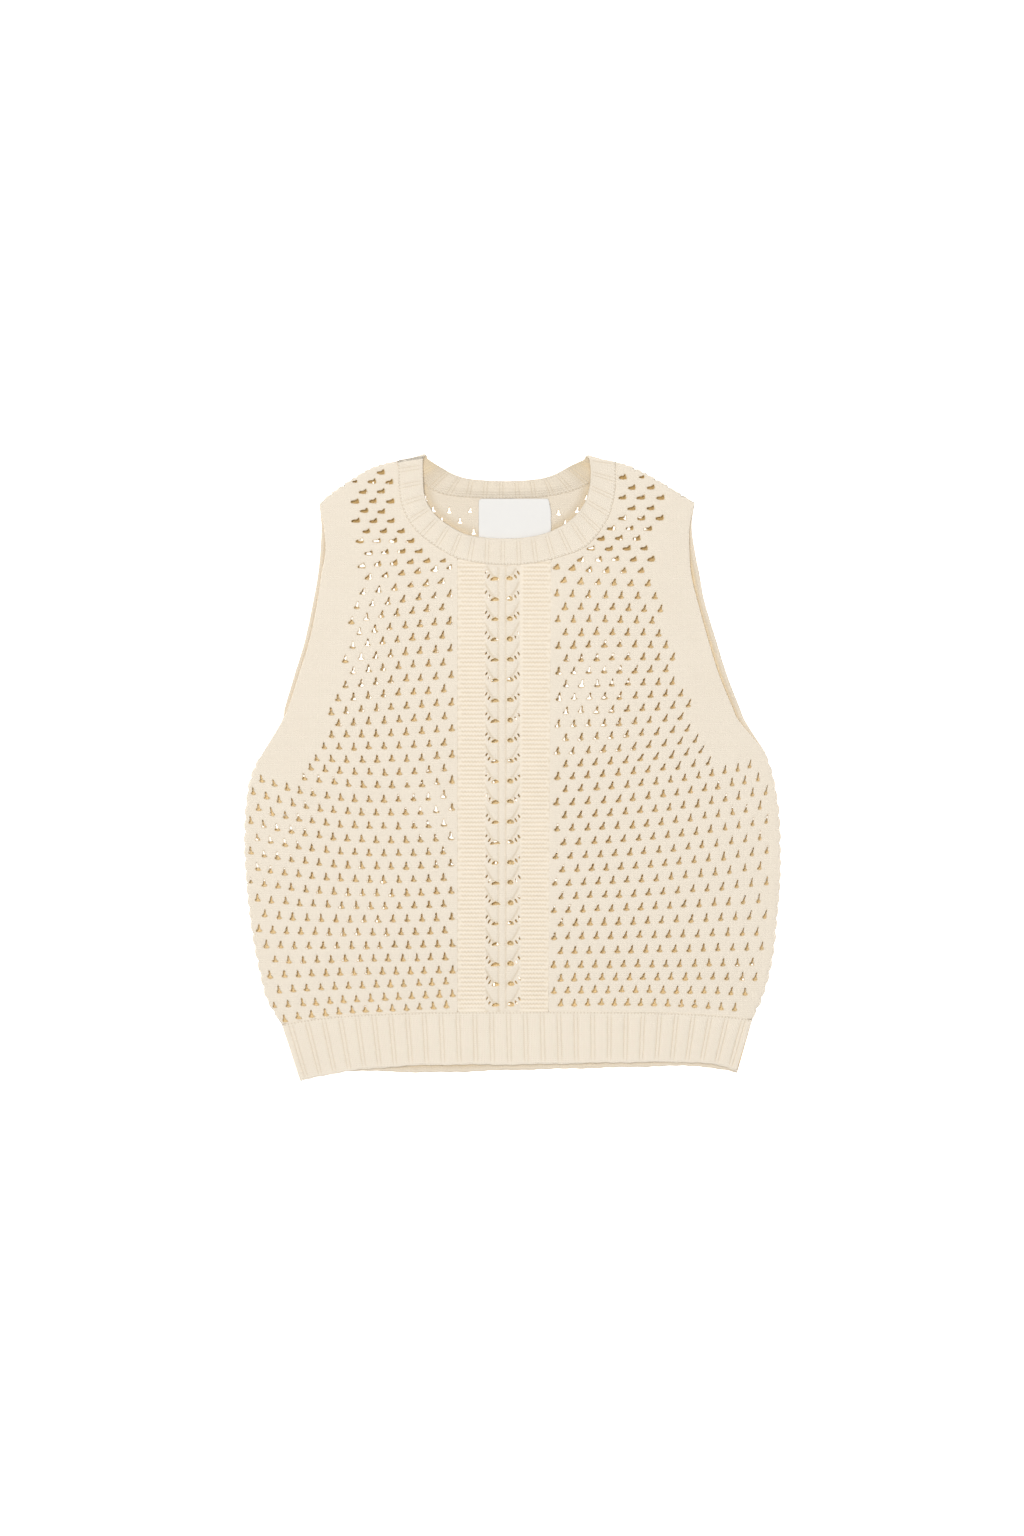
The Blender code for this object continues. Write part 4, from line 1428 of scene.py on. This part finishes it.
def rib_phases(ribs):
    """Places across so many ribs, in ribs, with the depth of the profile at each."""
    profile = np.array(RIB_PROFILE)
    mirrored = np.column_stack((1.0 - profile[:0:-1, 0], profile[:0:-1, 1]))
    one = np.vstack((profile[:-1], mirrored))
    places = np.concatenate([one[:, 0] + rib for rib in range(ribs)] + [(float(ribs),)])
    return places, np.append(np.tile(one[:, 1], ribs), 0.0)


def hem_cloth(is_front, edge):
    """The hem's ribbing in one layer: ribs from the seam down to the free edge."""
    knit = bpy.context.scene.jumper_knit
    sign = 1.0 if is_front else -1.0
    places, groove = rib_phases(HEM_RIBS)
    width = np.linalg.norm(np.array(HEM_SEAM[-1]) - HEM_SEAM[0])
    ends = np.array(HEM_SIDE_COLUMNS) / width * HEM_RIBS
    all_places = np.sort(np.concatenate((places, ends, HEM_RIBS - ends)))
    groove = np.interp(all_places, places, groove)
    shares = all_places / HEM_RIBS

    seam, low = smooth_path(HEM_SEAM, CURVE_STEPS), smooth_path(edge, CURVE_STEPS)
    seam = at_lengths(seam, shares * path_lengths(seam)[-1])
    off = 2.0 * shares - 1.0
    low_shares = 0.5 + 0.5 * off * (1.0 + FULLNESS - FULLNESS * np.abs(off) ** 1.4)
    low = at_lengths(low, low_shares * path_lengths(low)[-1])
    wave = 0.2 * np.sin(all_places * 2.0 * pi) + 0.25 * np.sin(all_places * 1.7 + sign)
    low = low + np.column_stack((np.zeros(len(low)), wave))
    downs = np.array(HEM_DOWN)[:, None]
    points = seam + (low - seam) * downs[:, :, None]

    side = np.minimum(shares, 1.0 - shares) * width
    length = np.linalg.norm(low - seam, axis=1)
    end = np.minimum(downs, 1.0 - downs) * length
    fade = smooth_rise(end / HEM_FADE) * smooth_rise((side + 1.0) / (HEM_FADE + 1.0))
    outer_face, inner_face = rolled_faces(is_front, RIB_WALL, side)
    outer_face, inner_face = thinned(
        outer_face - sign * groove * knit.rib_depth / MM * fade,
        inner_face + sign * HEM_INNER_GROOVE * groove * fade, edge_share(end, downs < 0.5))

    cloth = Cloth()
    wales = np.broadcast_to(all_places * WALES_PER_RIB, outer_face.shape)
    courses = downs * length / (knit.course_height / MM)
    stitches = np.stack((wales, courses), axis=2)
    # Painted shade in the outer face's grooves, and on the inner face, less of it near the free
    # edge.
    depth = HEM_SHADE * groove ** 4 * fade
    hidden = 0.15 + 0.75 * smooth_rise((1.0 - downs) * length / 10.0 - 0.2)
    outer, inner = (cloth.add(np.dstack((points, face)), stitches, shade.ravel())
                    .reshape(face.shape)
                    for face, shade in ((outer_face, depth), (inner_face, hidden)))
    inner[-1], inner[:, 0], inner[:, -1] = outer[-1], outer[:, 0], outer[:, -1]
    cloth.bridge(*((outer[0], inner[0]) if is_front else (inner[0], outer[0])), closed=False)
    cloth.grid(outer[::-1] if is_front else outer)
    cloth.grid(inner if is_front else inner[::-1])
    return cloth


class JUMPER_OT_neckband(bpy.types.Operator):
    """Knits the ribbed neckband, which folds over at both neck points"""

    bl_idname = "jumper.neckband"
    bl_label = "Knit the Neckband"

    def execute(self, context):
        knit = context.scene.jumper_knit
        sections = band_sections(24)
        closed = np.vstack((sections, sections[:1]))
        line = np.column_stack(((closed[:, 0] + closed[:, 2]) / 2.0,
                                (closed[:, 1] + closed[:, 3]) / 2.0, closed[:, 4]))
        along = path_lengths(line)
        ribs = round(along[-1] / BAND_RIB_PITCH)
        places, groove = rib_phases(ribs)
        places, groove = places[:-1], groove[:-1]
        at = places / ribs * along[-1]
        sections = np.column_stack([np.interp(at, along, column) for column in closed.T])

        shares = np.array(BAND_ACROSS)
        seam, free = sections[:, None, :2], sections[:, None, 2:4]
        flat = seam + (free - seam) * shares[:, None]
        arch = sections[:, 5:6] * (1.0 - np.cos(2.0 * pi * shares)) / 2.0
        middles = np.dstack((flat, sections[:, 4:5] + arch))
        ahead = np.roll(middles, -1, axis=0) - np.roll(middles, 1, axis=0)
        across = np.gradient(middles, axis=1)
        across[:, 0] = across[:, -1] = middles[:, -1] - middles[:, 0]
        outward = np.cross(ahead, across)
        outward /= np.linalg.norm(outward, axis=2)[:, :, None]

        width = np.linalg.norm(free - seam, axis=2)
        end = np.minimum(shares, 1.0 - shares) * width
        half = RIB_WALL / 2.0 * edge_share(end, shares < 0.5)
        fade = smooth_rise(end / BAND_FADE)
        sunk = groove[:, None] * BAND_GROOVE * knit.rib_depth / MM * fade
        outer = middles + outward * (half - sunk)[:, :, None]
        inner = middles - outward * (half - BAND_INNER_GROOVE * sunk)[:, :, None]

        cloth = Cloth()
        stitches = np.stack(np.broadcast_arrays(
            places[:, None] * WALES_PER_RIB, shares * width / (knit.course_height / MM)), axis=2)
        # Painted shade in the grooves.
        depth = BAND_SHADE * groove[:, None] ** 4 * fade
        # The inner face has more painted shade towards the neck points.
        aside = np.abs(seam[:, :, 0] - BAND_MIDDLE)
        shaded = 0.1 + 0.32 * smooth_rise((aside - 58.0) / 26.0)
        outer, inner = (cloth.add(face, stitches, shade.ravel()).reshape(depth.shape).T.copy()
                        for face, shade in ((outer, depth), (inner, depth + shaded)))
        inner[-1] = outer[-1]
        cloth.bridge(inner[0], outer[0])
        cloth.grid(outer, closed=True)
        cloth.grid(inner[::-1], closed=True)
        yarn = yarn_material("neckband_yarn", 1.1, seam=True)
        made = cloth.make("neckband_ribbing", yarn, "rib_knit", "neckband")
        return {"FINISHED"}


class JUMPER_OT_label(bpy.types.Operator):
    """Lays the blank woven label below the back of the neckband"""

    bl_idname = "jumper.label"
    bl_label = "Lay the Label"

    def execute(self, context):
        corner = LABEL_CORNER
        low, high = np.array((LABEL_LEFT, LABEL_LOW)), np.array((LABEL_RIGHT, LABEL_HIGH))
        arcs = []
        for index, middle in enumerate(((high[0] - corner, low[1] + corner), high - corner,
                                        (low[0] + corner, high[1] - corner), low + corner)):
            angles = radians(90.0) * (index - 1 + np.arange(5) / 4.0)
            arcs.append(np.column_stack((np.cos(angles), np.sin(angles))) * corner + middle)
        outline = np.vstack(arcs)
        loop = []
        for start, end in zip(*sides_of(outline)):
            steps = max(1, round(np.linalg.norm(end - start) / LABEL_STEP))
            loop.append(start + (end - start) * (np.arange(steps) / steps)[:, None])
        loop = np.vstack(loop)
        # The right end is frayed and bows out in its middle.
        on_right = loop[:, 0] > high[0] - 1.5
        loop[:, 0] += on_right * (1.9 * np.sin(pi * (high[1] - loop[:, 1]) / (high[1] - low[1]))
                                  - 1.4 + 0.2 * np.sin(loop[:, 1] / 2.3))
        inner = hex_grid(loop, LABEL_GRID)
        inner = inner[distance_to(inner, sides_of(loop)) > LABEL_GRID / 2.0]

        def heights(points):
            """Heights half way through the label, which curls up at its upper right corner."""
            x, y = points.T
            rise = smooth_rise((y - 203.0) / 20.0)
            curl = smooth_rise((x - 20.0) / 14.0) * (0.7 + 0.3 * np.sin(y / 5.0))
            return LABEL_HEIGHT + rise * (0.25 + 0.22 * np.sin(x / 9.0) + 0.9 * curl)

        cloth = Cloth()
        half = LABEL_WALL / 2.0
        edge = heights(loop)
        slim = inset_loop(loop, np.full(len(loop), half))
        top, rim, bottom = (cloth.add(np.column_stack((path, edge + offset)), path * 0.4)
                            for path, offset in ((slim, half), (loop, 0.0), (slim, -half)))
        cloth.bridge(rim, top)
        cloth.bridge(bottom, rim)
        for offset, ring in ((half, top), (-half, bottom)):
            numbers = cloth.add(np.column_stack((inner, heights(inner) + offset)), inner * 0.4)
            fill(cloth, [slim], [ring], inner, numbers, offset > 0.0)
        made = cloth.make("blank_label", label_material(), "woven_label", "label")
        return {"FINISHED"}


class JUMPER_OT_stage(bpy.types.Operator):
    """Sets the floor, the soft lights and the camera straight above"""

    bl_idname = "jumper.stage"
    bl_label = "Set the Stage"

    def execute(self, context):
        stage = context.scene.jumper_stage
        bpy.ops.object.select_all(action="DESELECT")
        bpy.ops.mesh.primitive_plane_add(size=FLOOR_SIZE, location=(0.0, 0.0, -FLOOR_GAP))
        floor = context.active_object
        floor.name = "floor"
        nodes = Nodes("pale_floor")
        colour = nodes.mottled(context.scene.jumper_colours.floor, 1.4, 0.2, 0.97)
        for name, value in (("Base Color", colour), ("Roughness", 0.9),
                            ("Specular IOR Level", 0.1), ("Emission Strength", 0.75),
                            ("Emission Color", (1.0, 1.0, 1.0, 1.0))):
            nodes.feed(nodes.shader.inputs[name], value)
        floor.data.materials.append(nodes.material)

        for name, (place, size), power in (("key_light", KEY_LIGHT, stage.key_power),
                                           ("fill_light", FILL_LIGHT, stage.fill_power)):
            lamp = bpy.data.lights.new(name, "AREA")
            lamp.energy = power
            lamp.size = size
            light = bpy.data.objects.new(name, lamp)
            light.location = place
            light.rotation_euler = Vector(place).to_track_quat("Z", "Y").to_euler()
            context.scene.collection.objects.link(light)

        world = bpy.data.worlds.new("pale_room")
        world.use_nodes = True
        background = world.node_tree.nodes["Background"]
        background.inputs["Color"].default_value = (1.0, 1.0, 1.0, 1.0)
        background.inputs["Strength"].default_value = stage.room_light
        context.scene.world = world
        context.scene.view_settings.view_transform = "Standard"

        camera = bpy.data.cameras.new("camera")
        camera.lens = stage.lens
        distance = stage.picture_height * stage.lens / camera.sensor_width
        holder = bpy.data.objects.new("camera", camera)
        holder.location = (0.0, 0.0, distance + JUMPER_TOP * MM)
        context.scene.collection.objects.link(holder)
        context.scene.camera = holder
        return {"FINISHED"}


class JUMPER_PT_panel(bpy.types.Panel):
    """The jumper's sizes, colours and operators"""

    bl_idname = "JUMPER_PT_panel"
    bl_label = "Jumper"
    bl_space_type = "VIEW_3D"
    bl_region_type = "UI"
    bl_category = "Jumper"

    def draw(self, context):
        for operator in OPERATORS:
            self.layout.operator(operator.bl_idname)
        for group in (context.scene.jumper_knit, context.scene.jumper_colours,
                      context.scene.jumper_stage):
            box = self.layout.box()
            for name in group.__annotations__:
                box.prop(group, name)


OPERATORS = (JUMPER_OT_front, JUMPER_OT_back, JUMPER_OT_hem, JUMPER_OT_neckband, JUMPER_OT_label,
             JUMPER_OT_stage)
SETTINGS = (("jumper_knit", JumperKnitSettings), ("jumper_colours", JumperColourSettings),
            ("jumper_stage", JumperStageSettings))


def register():
    for name, group in SETTINGS:
        bpy.utils.register_class(group)
        setattr(bpy.types.Scene, name, bpy.props.PointerProperty(type=group))
    for item in (*OPERATORS, JUMPER_PT_panel):
        bpy.utils.register_class(item)


def unregister():
    for item in (JUMPER_PT_panel, *reversed(OPERATORS)):
        bpy.utils.unregister_class(item)
    for name, group in reversed(SETTINGS):
        delattr(bpy.types.Scene, name)
        bpy.utils.unregister_class(group)


def main():
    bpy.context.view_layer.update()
    register()
    bpy.ops.jumper.front()
    bpy.ops.jumper.back()
    bpy.ops.jumper.hem()
    bpy.ops.jumper.neckband()
    bpy.ops.jumper.label()
    bpy.ops.jumper.stage()


if __name__ == "__main__":
    main()
